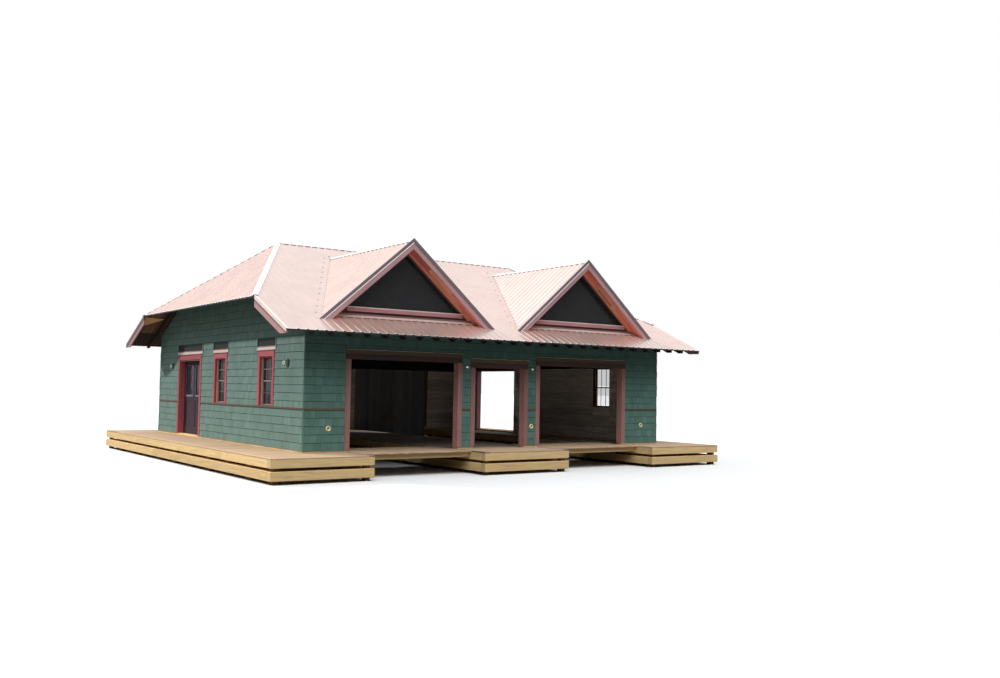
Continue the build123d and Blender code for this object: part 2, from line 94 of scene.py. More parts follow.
# Roof sheets, ribs and caps
RIB_SPACING = 0.2286
RIB_HEIGHT = 0.016
RIB_FOOT = 0.066
RIB_CREST = 0.028
RIB_STOP = 0.03
SHEET = 0.0025
SHEET_OVERHANG = 0.026
CAP_WING = 0.085
CAP_EDGE = 0.012
CAP_PLUG = 0.02
VALLEY_BAND = 0.15

# Dormers
EDGE_ABOVE = 0.042
EDGE_BELOW = 0.052
# Depth of the line painted as a highlight under each dormer's metal edge
HIGHLIGHT_LINE = 0.030
SOFFIT_BOARD = 0.014
SOFFIT_ROWS = 3
APRON_REACH = 0.15
APRON_BOARD = 0.036
GABLE_STOP = 0.045
GABLE_BEAD = 0.014

# End edges of the roof
RAKE_THICKNESS = 0.038
RAKE_SPLIT = 0.42
STRIP_FACE = 0.085
STRIP_RISE = 0.004
RAKE_SOFFIT_BOARDS = 5
PLYWOOD_SIDE = 0.62

# Boat doors and lamps
BOAT_DOOR_BOARD = 0.15
BOAT_DOOR_LEDGE = 0.14
LAMP_BOX_SHARE = 0.72
LAMP_CENTRE = 0.001
MOUNT_SIDEWAYS = 0.21

# The camera's focal length in pixels of a picture this wide, its place, and its turns in degrees
FOCAL_PIXELS = 951.756
IMAGE_WIDTH = 1000.0
CAMERA_PLACE = (-15.2491, -26.2965, 2.1503)
CAMERA_TURN = -36.086
CAMERA_LIFT = 3.0253
CAMERA_ROLL = 0.9812

# The floor's half width, and how strong the sky is at its foot and overhead
FLOOR_REACH = 300.0
SKY_LOW = 0.11
SKY_HIGH = 1.15

WALL_NODES = (
    "front_wall", "back_wall", "front_header", "back_header", "left_wall", "right_wall", "gable_walls"
)
ROOF_SKINS = (
    "roof_skirts", "roof_fields", "roof_crowns", "roof_hips", "dormer_slopes_left", "dormer_slopes_right"
)


# Reading the frame

def node_points(node):
    return [vertex.co.copy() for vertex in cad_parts[node].data.vertices]


def islands(node):
    """Lowest and highest corner of each separate solid of a node."""
    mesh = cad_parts[node].data
    keys = [tuple(round(value, 4) for value in vertex.co) for vertex in mesh.vertices]
    parent = {key: key for key in keys}

    def root(key):
        while parent[key] != key:
            parent[key] = parent[parent[key]]
            key = parent[key]
        return key

    for edge in mesh.edges:
        first, second = (root(keys[index]) for index in edge.vertices)
        parent[first] = second
    groups = {}
    for key in parent:
        groups.setdefault(root(key), []).append(key)
    boxes = []
    for members in groups.values():
        low = Vector(min(point[axis] for point in members) for axis in range(3))
        high = Vector(max(point[axis] for point in members) for axis in range(3))
        boxes.append((low, high))
    return sorted(boxes, key=lambda pair: tuple(pair[0]))


class Roof:
    """Planes and edges of the roof, read from the roof nodes."""

    def __init__(self):
        skirt = node_points("roof_skirts")
        self.x = max(point.x for point in skirt)
        self.y = max(point.y for point in skirt)
        front = [point for point in skirt if point.y < 0]
        inner_y = max(point.y for point in front)
        self.eave_z = max(point.z for point in front if point.y < 1e-4 - self.y)
        inner_z = max(point.z for point in front if point.y > inner_y - 1e-4)
        self.slope = (inner_z - self.eave_z) / (inner_y + self.y)
        self.ridge_z = self.eave_z + self.slope * self.y
        hips = node_points("roof_hips")
        self.ridge_half = min(abs(point.x) for point in hips)
        self.clip_z = max(point.z for point in hips if point.x < 1e-4 - self.x)
        self.clip_slope = (self.ridge_z - self.clip_z) / (self.x - self.ridge_half)
        self.clip_y = (self.ridge_z - self.clip_z) / self.slope
        self.build = self.eave_z - min(point.z for point in skirt)
        self.axes = sorted(high.x for low, high in islands("dormer_slopes_left") if low.y < 0)
        slopes = [point for point in node_points("dormer_slopes_left") if point.y < 0]
        dormer = [point for point in slopes if point.x < self.axes[0] + 1e-3]
        self.face_y = min(point.y for point in dormer)
        self.peak_z = max(point.z for point in dormer)
        self.dormer_back = (self.ridge_z - self.peak_z) / self.slope
        foot = min(dormer, key=lambda point: (round(point.x, 4), -point.z))
        self.dormer_slope = (self.peak_z - foot.z) / (self.axes[0] - foot.x)
        rakes = [point for point in node_points("dormer_rakes") if point.y < 0]
        boards = [point for point in rakes if abs(point.x - self.axes[0]) < 0.02]
        drops = [self.peak_z - self.dormer_slope * abs(point.x - self.axes[0]) - point.z for point in boards]
        self.board_top = min(drops)
        self.board_low = max(drops)
        self.board_y = max(point.y for point in boards)
        self.gable_y = min(point.y for point in node_points("dormer_gables"))
        self.tail_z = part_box("rake_boards")[0][2]
        self.rake_low = self.rake_drop("rake_boards")

    def main_z(self, y):
        return self.ridge_z - self.slope * abs(y)

    def rake_drop(self, node):
        """How far below the roof's face the end edge boards reach."""
        return max(self.main_z(point.y) - point.z for point in node_points(node))

    def clip_plane_z(self, x):
        return self.clip_z + self.clip_slope * (self.x - abs(x))

    def under(self, x, y):
        return min(self.main_z(y), self.clip_plane_z(x)) - self.build

    def hip_y(self, x):
        """How far from the ridge line the main slope starts at this x."""
        if abs(x) <= self.ridge_half:
            return 0.0
        return (self.ridge_z - self.clip_plane_z(x)) / self.slope

    def hip_x(self, y):
        return self.x - (self.main_z(y) - self.clip_z) / self.clip_slope

    def valley_y(self, distance):
        """How far from the ridge line the dormer leaves the main slope, at this distance from its axis."""
        return (self.ridge_z - self.peak_z + self.dormer_slope * distance) / self.slope

    def dormer_reach(self, y, drop=0.0):
        """How far from its axis a dormer's slope, or a level that much lower, meets the main slope."""
        return (self.peak_z - drop - self.main_z(y)) / self.dormer_slope

    def soffit_y(self, distance):
        """How far from the ridge line the main slope meets a dormer's soffit, this far from its axis."""
        return (self.ridge_z - self.peak_z + self.board_low + self.dormer_slope * distance) / self.slope

    def main_normal(self, front):
        return Vector((0, front * self.slope, 1)).normalized()

    def valley_ends(self, axis, front, side):
        foot_x = axis + side * self.dormer_reach(self.face_y)
        foot = Vector((foot_x, front * -self.face_y, self.main_z(self.face_y)))
        return foot, Vector((axis, front * self.dormer_back, self.peak_z))

    def valley_gap(self, width):
        """How far up the slope, in plan, a band of this width beside a valley reaches."""
        foot, top = self.valley_ends(0.0, -1, 1)
        line = (top - foot).normalized()
        uphill = Vector((0, 1, self.slope)).normalized()
        return width / line.cross(uphill).length * uphill.y


roof = Roof()
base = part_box("front_wall")[0][2]
wall_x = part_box("front_wall")[1][0]
wall_y = -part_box("front_wall")[0][1]
first_course = base - 0.01
inner_x = wall_x - (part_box("left_wall")[1][0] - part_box("left_wall")[0][0])
inner_y = wall_y - (wall_x - inner_x)


CORNERS = list(product((-1, 1), repeat=2))


def dormers():
    """Each dormer's axis, with -1 for one at the front and 1 for one at the back."""
    return list(product(roof.axes, (-1, 1)))


def side_normal(side, slope):
    """The upward normal of a plane that falls away to one side along X."""
    return Vector((side * slope, 0, 1)).normalized()


def ordered(sign, first, second):
    """Two distances from the middle of the building, put on one side of it, lowest first."""
    return sorted((sign * first, sign * second))


def on_end_wall(low, high):
    """Whether a flat piece lies on an end wall and not on a long one."""
    return high.y - low.y > high.x - low.x


# Making meshes

class Stack:
    """Gathers many pieces into one mesh, with grain coordinates and a tone for each."""

    def __init__(self):
        self.points = []
        self.faces = []
        self.uvs = []
        self.tones = []
        self.slots = []

    def solid(self, points, faces, along, tone=None, slot=0):
        """Adds a closed body; its faces are turned outwards."""
        middle = sum((Vector(point) for point in points), Vector()) / len(points)
        outward = 0.0
        for face in faces:
            first, second, third = (Vector(points[index]) for index in face[:3])
            outward += (second - first).cross(third - second).dot(first - middle)
        if outward < 0:
            faces = [tuple(face)[::-1] for face in faces]
        start = len(self.points)
        shift_u = chance.uniform(0, 40)
        shift_v = chance.uniform(0, 40)
        tone = chance.random() if tone is None else tone
        along = Vector(along).normalized()
        self.points += [tuple(point) for point in points]
        for face in faces:
            corners = [Vector(points[index]) for index in face]
            normal = (corners[1] - corners[0]).cross(corners[2] - corners[1])
            normal = normal.normalized() if normal.length > 1e-12 else Vector((0, 0, 1))
            lengthwise = along
            if abs(normal.dot(along)) > 0.8:
                lengthwise = normal.orthogonal().normalized()
            across = normal.cross(lengthwise)
            for corner in corners:
                self.uvs.append((corner.dot(lengthwise) + shift_u, corner.dot(across) + shift_v))
            self.faces.append([start + index for index in face])
            self.tones.append(tone)
            self.slots.append(slot)

    def hexa(self, points, along, tone=None, slot=0):
        """Eight corners: four below in turn, then the four above them."""
        faces = [(3, 2, 1, 0), (4, 5, 6, 7), (0, 1, 5, 4), (1, 2, 6, 5), (2, 3, 7, 6), (3, 0, 4, 7)]
        self.solid(points, faces, along, tone, slot)

    def prism(self, outline, shift, along, tone=None, slot=0):
        """A flat outline of any number of corners, drawn out by a shift."""
        count = len(outline)
        shift = Vector(shift)
        points = [Vector(point) for point in outline]
        points += [point + shift for point in points]
        faces = [tuple(range(count)), tuple(range(count, 2 * count))[::-1]]
        for i in range(count):
            after = (i + 1) % count
            faces.append((i + count, after + count, after, i))
        self.solid(points, faces, along, tone, slot)

    def box(self, low, high, along, tone=None, slot=0):
        x0, y0, z0 = low
        x1, y1, z1 = high
        points = [(x0, y0, z0), (x1, y0, z0), (x1, y1, z0), (x0, y1, z0)]
        points += [(x0, y0, z1), (x1, y0, z1), (x1, y1, z1), (x0, y1, z1)]
        self.hexa(points, along, tone, slot)

    def board(self, low, high, chamfer=0.003, along=None, tone=None, slot=0):
        """A box with its twelve edges eased."""
        low = Vector(low)
        high = Vector(high)
        size = high - low
        cut = min(chamfer, min(size) * 0.4)
        if along is None:
            along = [0, 0, 0]
            along[max(range(3), key=lambda axis: size[axis])] = 1
        points = []
        index = {}
        for signs in product((0, 1), repeat=3):
            for axis in range(3):
                moved = Vector((high[a] if sign else low[a]) for a, sign in enumerate(signs))
                for other in range(3):
                    if other != axis:
                        moved[other] += -cut if signs[other] else cut
                index[(*signs, axis)] = len(points)
                points.append(moved)
        faces = []
        centre = (low + high) / 2

        def add(face):
            corners = [points[i] for i in face]
            normal = (corners[1] - corners[0]).cross(corners[2] - corners[0])
            middle = sum(corners, Vector()) / len(corners)
            faces.append(face if normal.dot(middle - centre) > 0 else face[::-1])

        for axis in range(3):
            one, two = [other for other in range(3) if other != axis]
            for side in (0, 1):
                ring = []
                for a, b in ((0, 0), (1, 0), (1, 1), (0, 1)):
                    signs = [0, 0, 0]
                    signs[axis], signs[one], signs[two] = side, a, b
                    ring.append(index[(*signs, axis)])
                add(ring)
            for a, b in product((0, 1), repeat=2):
                strip = []
                for side, face_axis in ((0, one), (1, one), (1, two), (0, two)):
                    signs = [0, 0, 0]
                    signs[axis], signs[one], signs[two] = side, a, b
                    strip.append(index[(*signs, face_axis)])
                add(strip)
        for signs in product((0, 1), repeat=3):
            add([index[(*signs, axis)] for axis in range(3)])
        self.solid(points, faces, along, tone, slot)

    def object(self, name, materials, body="boathouse", replaces=()):
        mesh = bpy.data.meshes.new(name)
        mesh.from_pydata(self.points, [], self.faces)
        layer = mesh.uv_layers.new(name="grain")
        layer.data.foreach_set("uv", [value for pair in self.uvs for value in pair])
        tone = mesh.attributes.new("tone", "FLOAT", "FACE")
        tone.data.foreach_set("value", self.tones)
        mesh.polygons.foreach_set("material_index", self.slots)
        finish_piece(name, mesh, materials, body, replaces)


def finish_piece(name, mesh, materials, body="boathouse", replaces=()):
    for material in materials if isinstance(materials, (list, tuple)) else [materials]:
        mesh.materials.append(material)
    mesh.update()
    piece = bpy.data.objects.new(name, mesh)
    bpy.context.scene.collection.objects.link(piece)
    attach(piece, body)
    if replaces:
        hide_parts(*replaces)


def dressed(node, choose, materials):
    """A copy of a node whose faces take different materials, each picked by its polygon."""
    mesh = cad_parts[node].data.copy()
    mesh.materials.clear()
    for polygon in mesh.polygons:
        polygon.material_index = choose(polygon)
        polygon.use_smooth = False
    finish_piece(node + "_dressed", mesh, materials, replaces=(node,))


def paint(node, material):
    """Gives a node that shows as it is its material."""
    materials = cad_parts[node].data.materials
    materials.clear()
    materials.append(material)


# Materials

class Wiring:
    """A short way to add and link the nodes of a tree."""

    def __init__(self, tree):
        self.tree = tree

    def add(self, kind, **settings):
        node = self.tree.nodes.new("ShaderNode" + kind)
        for key, value in settings.items():
            setattr(node, key, value)
        return node

    def link(self, output, socket):
        self.tree.links.new(output, socket)

    def finish(self, kind, factor, first, second):
        """Mixes two shaders and puts the result on the surface of a world or a material."""
        blend = self.add("MixShader")
        self.link(factor, blend.inputs[0])
        self.link(first.outputs[0], blend.inputs[1])
        self.link(second.outputs[0], blend.inputs[2])
        self.link(blend.outputs[0], self.add("Output" + kind).inputs["Surface"])


class Nodes(Wiring):
    """The nodes of a new material, round its shader."""

    def __init__(self, name):
        self.material = bpy.data.materials.new(name)
        self.material.use_nodes = True
        super().__init__(self.material.node_tree)
        self.shader = self.tree.nodes["Principled BSDF"]

    def coordinates(self, scale, source="UV"):
        place = self.add("TexCoord")
        mapping = self.add("Mapping")
        mapping.inputs["Scale"].default_value = scale
        self.link(place.outputs[source], mapping.inputs["Vector"])
        return mapping.outputs["Vector"]

    def noise(self, vector, scale, detail=4.0, roughness=0.55, distortion=0.0):
        node = self.add("TexNoise")
        node.inputs["Scale"].default_value = scale
        node.inputs["Detail"].default_value = detail
        node.inputs["Roughness"].default_value = roughness
        node.inputs["Distortion"].default_value = distortion
        self.link(vector, node.inputs["Vector"])
        return node.outputs["Fac"]

    def ramp(self, value, *stops):
        node = self.add("ValToRGB")
        elements = node.color_ramp.elements
        while len(elements) < len(stops):
            elements.new(0.5)
        for element, (place, colour) in zip(elements, stops):
            element.position = place
            element.color = (*colour, 1)
        self.link(value, node.inputs["Fac"])
        return node.outputs["Color"]

    def mix(self, factor, first, second, blend="MIX"):
        node = self.add("Mix", data_type="RGBA", blend_type=blend)
        for socket, value in ((node.inputs[0], factor), (node.inputs[6], first), (node.inputs[7], second)):
            if isinstance(value, bpy.types.NodeSocket):
                self.link(value, socket)
            elif isinstance(value, (int, float)):
                socket.default_value = value
            else:
                socket.default_value = (*value, 1)
        return node.outputs[2]

    def scaled(self, value, low, high):
        node = self.add("MapRange")
        node.inputs["To Min"].default_value = low
        node.inputs["To Max"].default_value = high
        self.link(value, node.inputs["Value"])
        return node.outputs["Result"]

    def bump(self, height, strength, distance, previous=None):
        node = self.add("Bump")
        node.inputs["Strength"].default_value = strength
        node.inputs["Distance"].default_value = distance
        self.link(height, node.inputs["Height"])
        if previous is not None:
            self.link(previous, node.inputs["Normal"])
        return node.outputs["Normal"]

    def colour(self, output):
        self.link(output, self.shader.inputs["Base Color"])

    def roughness(self, output):
        self.link(output, self.shader.inputs["Roughness"])

    def normal(self, output):
        self.link(output, self.shader.inputs["Normal"])

    def tone(self):
        node = self.add("Attribute")
        node.attribute_name = "tone"
        return node.outputs["Fac"]


def shade(colour, factor):
    return tuple(min(value * factor, 1) for value in colour)


def wood(
    name, colour, grain=0.5, spread=0.5, wear=0.25, source="UV", stretch=(1, 16, 16), fade=None, rough=0.72
):
    """Sawn or stained boards: streaks along the grain, a tone for each board, stains and fine ridges."""
    nodes = Nodes(name)
    long_way = nodes.coordinates(stretch, source)
    streaks = nodes.noise(long_way, 1.3, 6.0, 0.62, 0.6)
    fine = nodes.noise(long_way, 6.0, 3.0, 0.6, 0.2)
    patches = nodes.noise(nodes.coordinates((1, 1, 1), "Object"), 1.1, 4.0, 0.6)
    dark = shade(colour, 1 - grain * 0.75)
    light = shade(colour, 1 + grain * 0.5)
    body = nodes.ramp(streaks, (0.3, dark), (0.52, colour), (0.72, light))
    body = nodes.mix(nodes.scaled(fine, 0.0, grain * 0.7), body, shade(colour, 0.55))
    if source == "UV":
        darkest, palest = (1 - spread * 0.55,) * 3, (1 + spread * 0.35,) * 3
        toned = nodes.ramp(nodes.tone(), (0.0, darkest), (0.5, (1, 1, 1)), (1.0, palest))
        body = nodes.mix(1.0, body, toned, "MULTIPLY")
    soiled = nodes.ramp(patches, (0.42, (0, 0, 0)), (0.68, (wear, wear, wear)))
    body = nodes.mix(soiled, body, fade or shade(colour, 0.6))
    nodes.colour(body)
    nodes.roughness(nodes.scaled(streaks, rough - 0.12, rough + 0.16))
    rough_normal = nodes.bump(streaks, 0.35, 0.004)
    nodes.normal(nodes.bump(fine, 0.3, 0.0015, rough_normal))
    nodes.shader.inputs["Specular IOR Level"].default_value = 0.15
    return nodes.material


def shingle(name, colour, pale):
    """Stained cedar shingles: upright grain, each one its own tone, lighter where the stain is thin."""
    nodes = Nodes(name)
    upright = nodes.coordinates((2.2, 34, 34))
    streaks = nodes.noise(upright, 1.0, 5.0, 0.65, 0.3)
    fine = nodes.noise(nodes.coordinates((8, 140, 140)), 1.0, 2.0)
    patches = nodes.noise(nodes.coordinates((1, 1, 1), "Object"), 0.8, 5.0, 0.6)
    body = nodes.ramp(streaks, (0.28, shade(colour, 0.72)), (0.5, colour), (0.75, shade(colour, 1.25)))
    tones = nodes.ramp(
        nodes.tone(),
        (0.0, shade(colour, 0.78)),
        (0.35, shade(colour, 0.94)),
        (0.8, shade(colour, 1.08)),
        (1.0, tuple((a + b) / 2 for a, b in zip(colour, pale))),
    )
    body = nodes.mix(0.5, body, tones)
    washed = nodes.ramp(patches, (0.45, (0, 0, 0)), (0.75, (0.22, 0.22, 0.22)))
    body = nodes.mix(washed, body, pale)
    nodes.colour(body)
    nodes.roughness(nodes.scaled(streaks, 0.62, 0.88))
    normal = nodes.bump(streaks, 0.45, 0.004)
    nodes.normal(nodes.bump(fine, 0.25, 0.001, normal))
    nodes.shader.inputs["Specular IOR Level"].default_value = 0.15
    return nodes.material


def painted_metal(name, colour, gloss=0.34, dirt=0.2, metallic=0.0, coat=0.0):
    """Coated sheet: faint waviness, broad dusty patches and fine specks."""
    nodes = Nodes(name)
    wide = nodes.noise(nodes.coordinates((1, 1, 1), "Object"), 1.4, 5.0, 0.6)
    specks = nodes.noise(nodes.coordinates((1, 1, 1), "Object"), 60.0, 2.0)
    clean = (0.75, shade(colour, 1 + dirt * 0.25))
    dusty = nodes.ramp(wide, (0.35, shade(colour, 1 - dirt * 0.6)), (0.55, colour), clean)
    body = nodes.mix(nodes.scaled(specks, 0.0, dirt * 0.25), dusty, shade(colour, 0.6))
    nodes.colour(body)
    nodes.roughness(nodes.scaled(wide, gloss - 0.06, gloss + 0.14))
    nodes.normal(nodes.bump(wide, 0.12, 0.01))
    nodes.shader.inputs["Specular IOR Level"].default_value = 0.6
    nodes.shader.inputs["Metallic"].default_value = metallic
    nodes.shader.inputs["Coat Weight"].default_value = coat
    nodes.shader.inputs["Coat Roughness"].default_value = 0.2
    nodes.shader.inputs["Coat IOR"].default_value = 2.3
    return nodes.material


def metal(name, colour, gloss):
    """Bare metal with fine dull specks."""
    nodes = Nodes(name)
    fine = nodes.noise(nodes.coordinates((1, 1, 1), "Object"), 90.0, 3.0)
    nodes.colour(nodes.ramp(fine, (0.3, shade(colour, 0.75)), (0.7, colour)))
    nodes.roughness(nodes.scaled(fine, gloss - 0.08, gloss + 0.15))
    nodes.normal(nodes.bump(fine, 0.1, 0.001))
    nodes.shader.inputs["Metallic"].default_value = 0.9
    return nodes.material


def glass(name, colour, gloss=0.7, alpha=0.55):
    """Window glass seen from outside: a dark sheet with a clear gloss."""
    nodes = Nodes(name)
    ripple = nodes.noise(nodes.coordinates((1, 1, 1), "Object"), 2.2, 2.0)
    dust = nodes.noise(nodes.coordinates((1, 1, 1), "Object"), 14.0, 4.0)
    nodes.colour(nodes.mix(nodes.scaled(dust, 0.0, 0.12), colour, (0.35, 0.33, 0.30)))
    nodes.roughness(nodes.scaled(dust, 0.03, 0.14))
    nodes.normal(nodes.bump(ripple, 0.04, 0.01))
    nodes.shader.inputs["Alpha"].default_value = alpha
    nodes.shader.inputs["Specular IOR Level"].default_value = gloss
    return nodes.material


GREEN = (0.094, 0.194, 0.167)
GREEN_PALE = (0.190, 0.310, 0.275)
# The end walls' green, written paler and greyer than the front's: painted light of the sun on that side
GREEN_END_SUNLIT = (0.150, 0.246, 0.222)
RED = (0.480, 0.125, 0.150)
BROWN = (0.380, 0.200, 0.190)
DARK_BROWN = (0.080, 0.060, 0.048)
TIMBER = (1.000, 0.700, 0.345)
DECK = (0.600, 0.415, 0.265)
# Bare wood of the inner boards, written far paler than it is as painted light in the dim bays
INSIDE = (0.920, 0.850, 0.780)
MAUVE = (0.560, 0.320, 0.330)
# Orange of the dormer soffits: their own orange, brightened as painted light thrown up from the roof below
ORANGE = (0.960, 0.410, 0.270)
ROOF = (0.700, 0.480, 0.420)
CAP = (0.880, 0.850, 0.850)

shingles_green = shingle("shingles_green", GREEN, GREEN_PALE)
# End wall shingles in the paler green: a painted sunlit copy of the same shingles
shingles_end_sunlit = shingle("shingles_end_sunlit", GREEN_END_SUNLIT, shade(GREEN_END_SUNLIT, 1.5))
# Painted shade: the top of each shingle's exposure, darkened as the shade under the butt above
shingle_shade_band = shingle("shingle_shade_band", shade(GREEN, 0.42), shade(GREEN, 0.6))
trim_red = wood("trim_red", RED, 0.3, 0.3)
trim_deep_red = wood("trim_deep_red", (0.440, 0.115, 0.140), 0.3, 0.3)
trim_brown = wood("trim_brown", BROWN, 0.35, 0.3)
# Jamb liners away from the left wall: red paint written paler as painted light in the shaded openings
trim_liner = wood("trim_liner", (0.560, 0.300, 0.310), 0.35, 0.3)
# Near black for the right wall's sash frames: painted shade, as they are seen across the dark inside
trim_dark = wood("trim_dark", DARK_BROWN, 0.4, 0.3)
trim_olive = wood("trim_olive", (0.150, 0.120, 0.082), 0.3, 0.3)
# Near black for the lower boards of the bay head casings: painted shade under the eave
trim_head_painted_shade = wood("trim_head_painted_shade", (0.110, 0.066, 0.062), 0.35, 0.3)
timber = wood("timber", TIMBER, 0.35, 0.3, 0.3, fade=(0.78, 0.56, 0.33), rough=0.8)
# Darker copy of the timber for the blocks between courses: painted shade in the gap
timber_painted_shade = wood("timber_painted_shade", (0.240, 0.150, 0.085), 0.45, 0.35, 0.3, rough=0.8)
deck_wood = wood("deck_wood", DECK, 0.35, 0.35, 0.3, fade=(0.50, 0.40, 0.31), rough=0.82)
# Deck boards inside the walls: a darker copy of the deck, painted as shade under the roof
deck_inside_painted_shade = wood("deck_inside_painted_shade", (0.330, 0.260, 0.210), 0.4, 0.4, 0.3, rough=0.82)
# Inner boards: their wood colour raised as painted light for the dim inside
inside_wood = wood("inside_wood", INSIDE, 0.4, 0.4)
# Sheathing near black: painted shade under the eaves, darker than the boards' own colour
sheathing_painted_shade = wood("sheathing_painted_shade", (0.016, 0.024, 0.027), 0.45, 0.0, source="Object", stretch=(1, 1, 9))
# Near black for the rafters and ridge beam: painted shade under the roof
frame_wood_painted_shade = wood("frame_wood_painted_shade", (0.040, 0.028, 0.025), 0.45, 0.0, source="Object", stretch=(14, 1, 14))
# Near black for the undersides of the roof skins: painted shade under the roof
soffit_painted_shade = wood("soffit_painted_shade", (0.045, 0.032, 0.028), 0.45, 0.0, source="Object", stretch=(9, 1, 9))
# Soffit boards in their orange, raised as painted light bounced up from the roof
soffit_orange = wood("soffit_orange", ORANGE, 0.45, 0.9)
gable_bead = wood("gable_bead", (0.300, 0.190, 0.200), 0.3, 0.0)
gable_dark = wood("gable_dark", (0.070, 0.040, 0.050), 0.4, 0.0)
# A red tone of the soffit boards, also brightened as painted light
soffit_red = wood("soffit_red", (0.960, 0.270, 0.220), 0.45, 0.8)
soffit_brown = wood("soffit_brown", (0.190, 0.105, 0.070), 0.5, 1.0)
plywood = wood("plywood", (0.850, 0.520, 0.270), 0.3, 0.3)
rake_mauve = wood("rake_mauve", MAUVE, 0.25, 0.3)
sill_mauve = wood("sill_mauve", (0.480, 0.235, 0.245), 0.25, 0.3)
rake_brown = wood("rake_brown", (0.330, 0.195, 0.185), 0.3, 0.3)
door_wood = wood("door_wood", (0.050, 0.028, 0.044), 0.35, 0.0, source="Object", stretch=(14, 14, 1))
door_bead = wood("door_bead", (0.300, 0.220, 0.330), 0.25, 0.2)
boat_door_wood = wood("boat_door_wood", (0.300, 0.300, 0.310), 0.35, 0.4)
bare_board = wood("bare_board", (0.420, 0.250, 0.210), 0.5, 0.3)
# Pale green for the patch edges: painted highlight of sun on the shingles' cut ends
edge_green_highlight = wood("edge_green_highlight", (0.230, 0.380, 0.340), 0.3, 0.2)
# Bare wood of the window reveals, brightened as painted light in their shade
reveal_bare_lit = wood("reveal_bare_lit", (0.900, 0.520, 0.400), 0.4, 0.2)
sash_grey = wood("sash_grey", (0.34, 0.26, 0.25), 0.3, 0.2)
# Dark brown for the dormer gables: painted shade under the sills
gable_brown = wood("gable_brown", (0.100, 0.062, 0.064), 0.5, 0.0, source="Object", stretch=(2, 8, 8))
door_green = wood("door_green", (0.030, 0.075, 0.062), 0.3, 0.2)
roof_metal = painted_metal("roof_metal", ROOF, 0.30, 0.16, 0.4, 1.0)
cap_metal = painted_metal("cap_metal", CAP, 0.32, 0.10, 0.2, 0.8)
# Painted highlight for the dormer edge line on the sunlit side
highlight_metal = painted_metal("highlight_metal", (0.980, 0.900, 0.890), 0.25, 0.0, 0.8)
# One metal strip in two copies: a pale lit one and a dark shaded one
strip_metal_lit = painted_metal("strip_metal_lit", (0.880, 0.760, 0.710), 0.40, 0.2)
strip_metal_shaded = painted_metal("strip_metal_shaded", (0.095, 0.060, 0.075), 0.45, 0.2)
# The dormer edge line on the other side: a brown shaded copy of the painted highlight
line_brown_shaded = painted_metal("line_brown_shaded", (0.270, 0.165, 0.160), 0.45, 0.2)
# Near black for strips, plugs and sheet edges: painted shade in gaps and hollows under the roof's edges
painted_shade_metal = painted_metal("painted_shade_metal", (0.025, 0.022, 0.024), 0.45, 0.2)
dormer_edge_metal = painted_metal("dormer_edge_metal", (0.170, 0.135, 0.155), 0.45, 0.2)
flashing_metal = painted_metal("flashing_metal", (0.780, 0.630, 0.610), 0.35, 0.15)
apron_metal = painted_metal("apron_metal", (0.680, 0.500, 0.440), 0.45, 0.2)
lamp_white = metal("lamp_white", (0.960, 0.960, 0.950), 0.2)
hinge_steel = metal("hinge_steel", (0.45, 0.44, 0.42), 0.35)
lamp_cream = painted_metal("lamp_cream", (0.980, 0.980, 0.820), 0.4, 0.1)
lamp_grey = painted_metal("lamp_grey", (0.300, 0.330, 0.290), 0.5, 0.2)
ring_brass = painted_metal("ring_brass", (0.940, 0.820, 0.460), 0.35, 0.2, 0.4)
pane_glass = glass("pane_glass", (0.050, 0.068, 0.100), 0.7, 0.25)
gable_glass = glass("gable_glass", (0.010, 0.013, 0.018), 0.12, 0.75)


# Shingled walls

class Face:
    """One outside face of a wall: s runs along it and out points away from the building."""

    def __init__(self, origin, along, out, length):
        self.origin = Vector(origin)
        self.along = Vector(along)
        self.out = Vector(out)
        self.length = length

    def point(self, s, depth, z):
        flat = self.origin + self.along * s + self.out * depth
        return (flat.x, flat.y, z)


def course_pieces(length, z0, z1, blocks):
    """Stretches of a course that are free of openings, each with its own bottom and top."""
    edges = {0.0, length}
    for s0, s1, low, high in blocks:
        if low < z1 and high > z0:
            edges.update(min(max(s, 0.0), length) for s in (s0, s1))
    edges = sorted(edges)
    pieces = []
    for start, end in zip(edges, edges[1:]):
        bottom, top = z0, z1
        middle = (start + end) / 2
        for s0, s1, low, high in blocks:
            if s0 < middle < s1 and low < z1 and high > z0:
                if low <= bottom + 1e-6:
                    bottom = max(bottom, high)
                else:
                    top = min(top, low)
        if top - bottom > SMALLEST_PIECE and end - start > SMALLEST_PIECE:
            pieces.append((start, end, bottom, top))
    return pieces


def shingle_face(stack, face, z_start, z_end, blocks, ceiling):
    """Courses of shingles from z_start up to z_end. ceiling gives the highest point at each s."""
    z0 = z_start
    while z0 < z_end - 0.02:
        z1 = min(z0 + SHINGLE_EXPOSURE, z_end)
        for start, end, bottom, top in course_pieces(face.length, z0, z1, blocks):
            s = start
            while s < end - 1e-4:
                width = chance.uniform(*SHINGLE_WIDTHS)
                if end - s - width < NARROWEST_SHINGLE:
                    width = end - s
                add_shingle(stack, face, s, s + width, bottom, top, ceiling)
                s += width
        z0 += SHINGLE_EXPOSURE


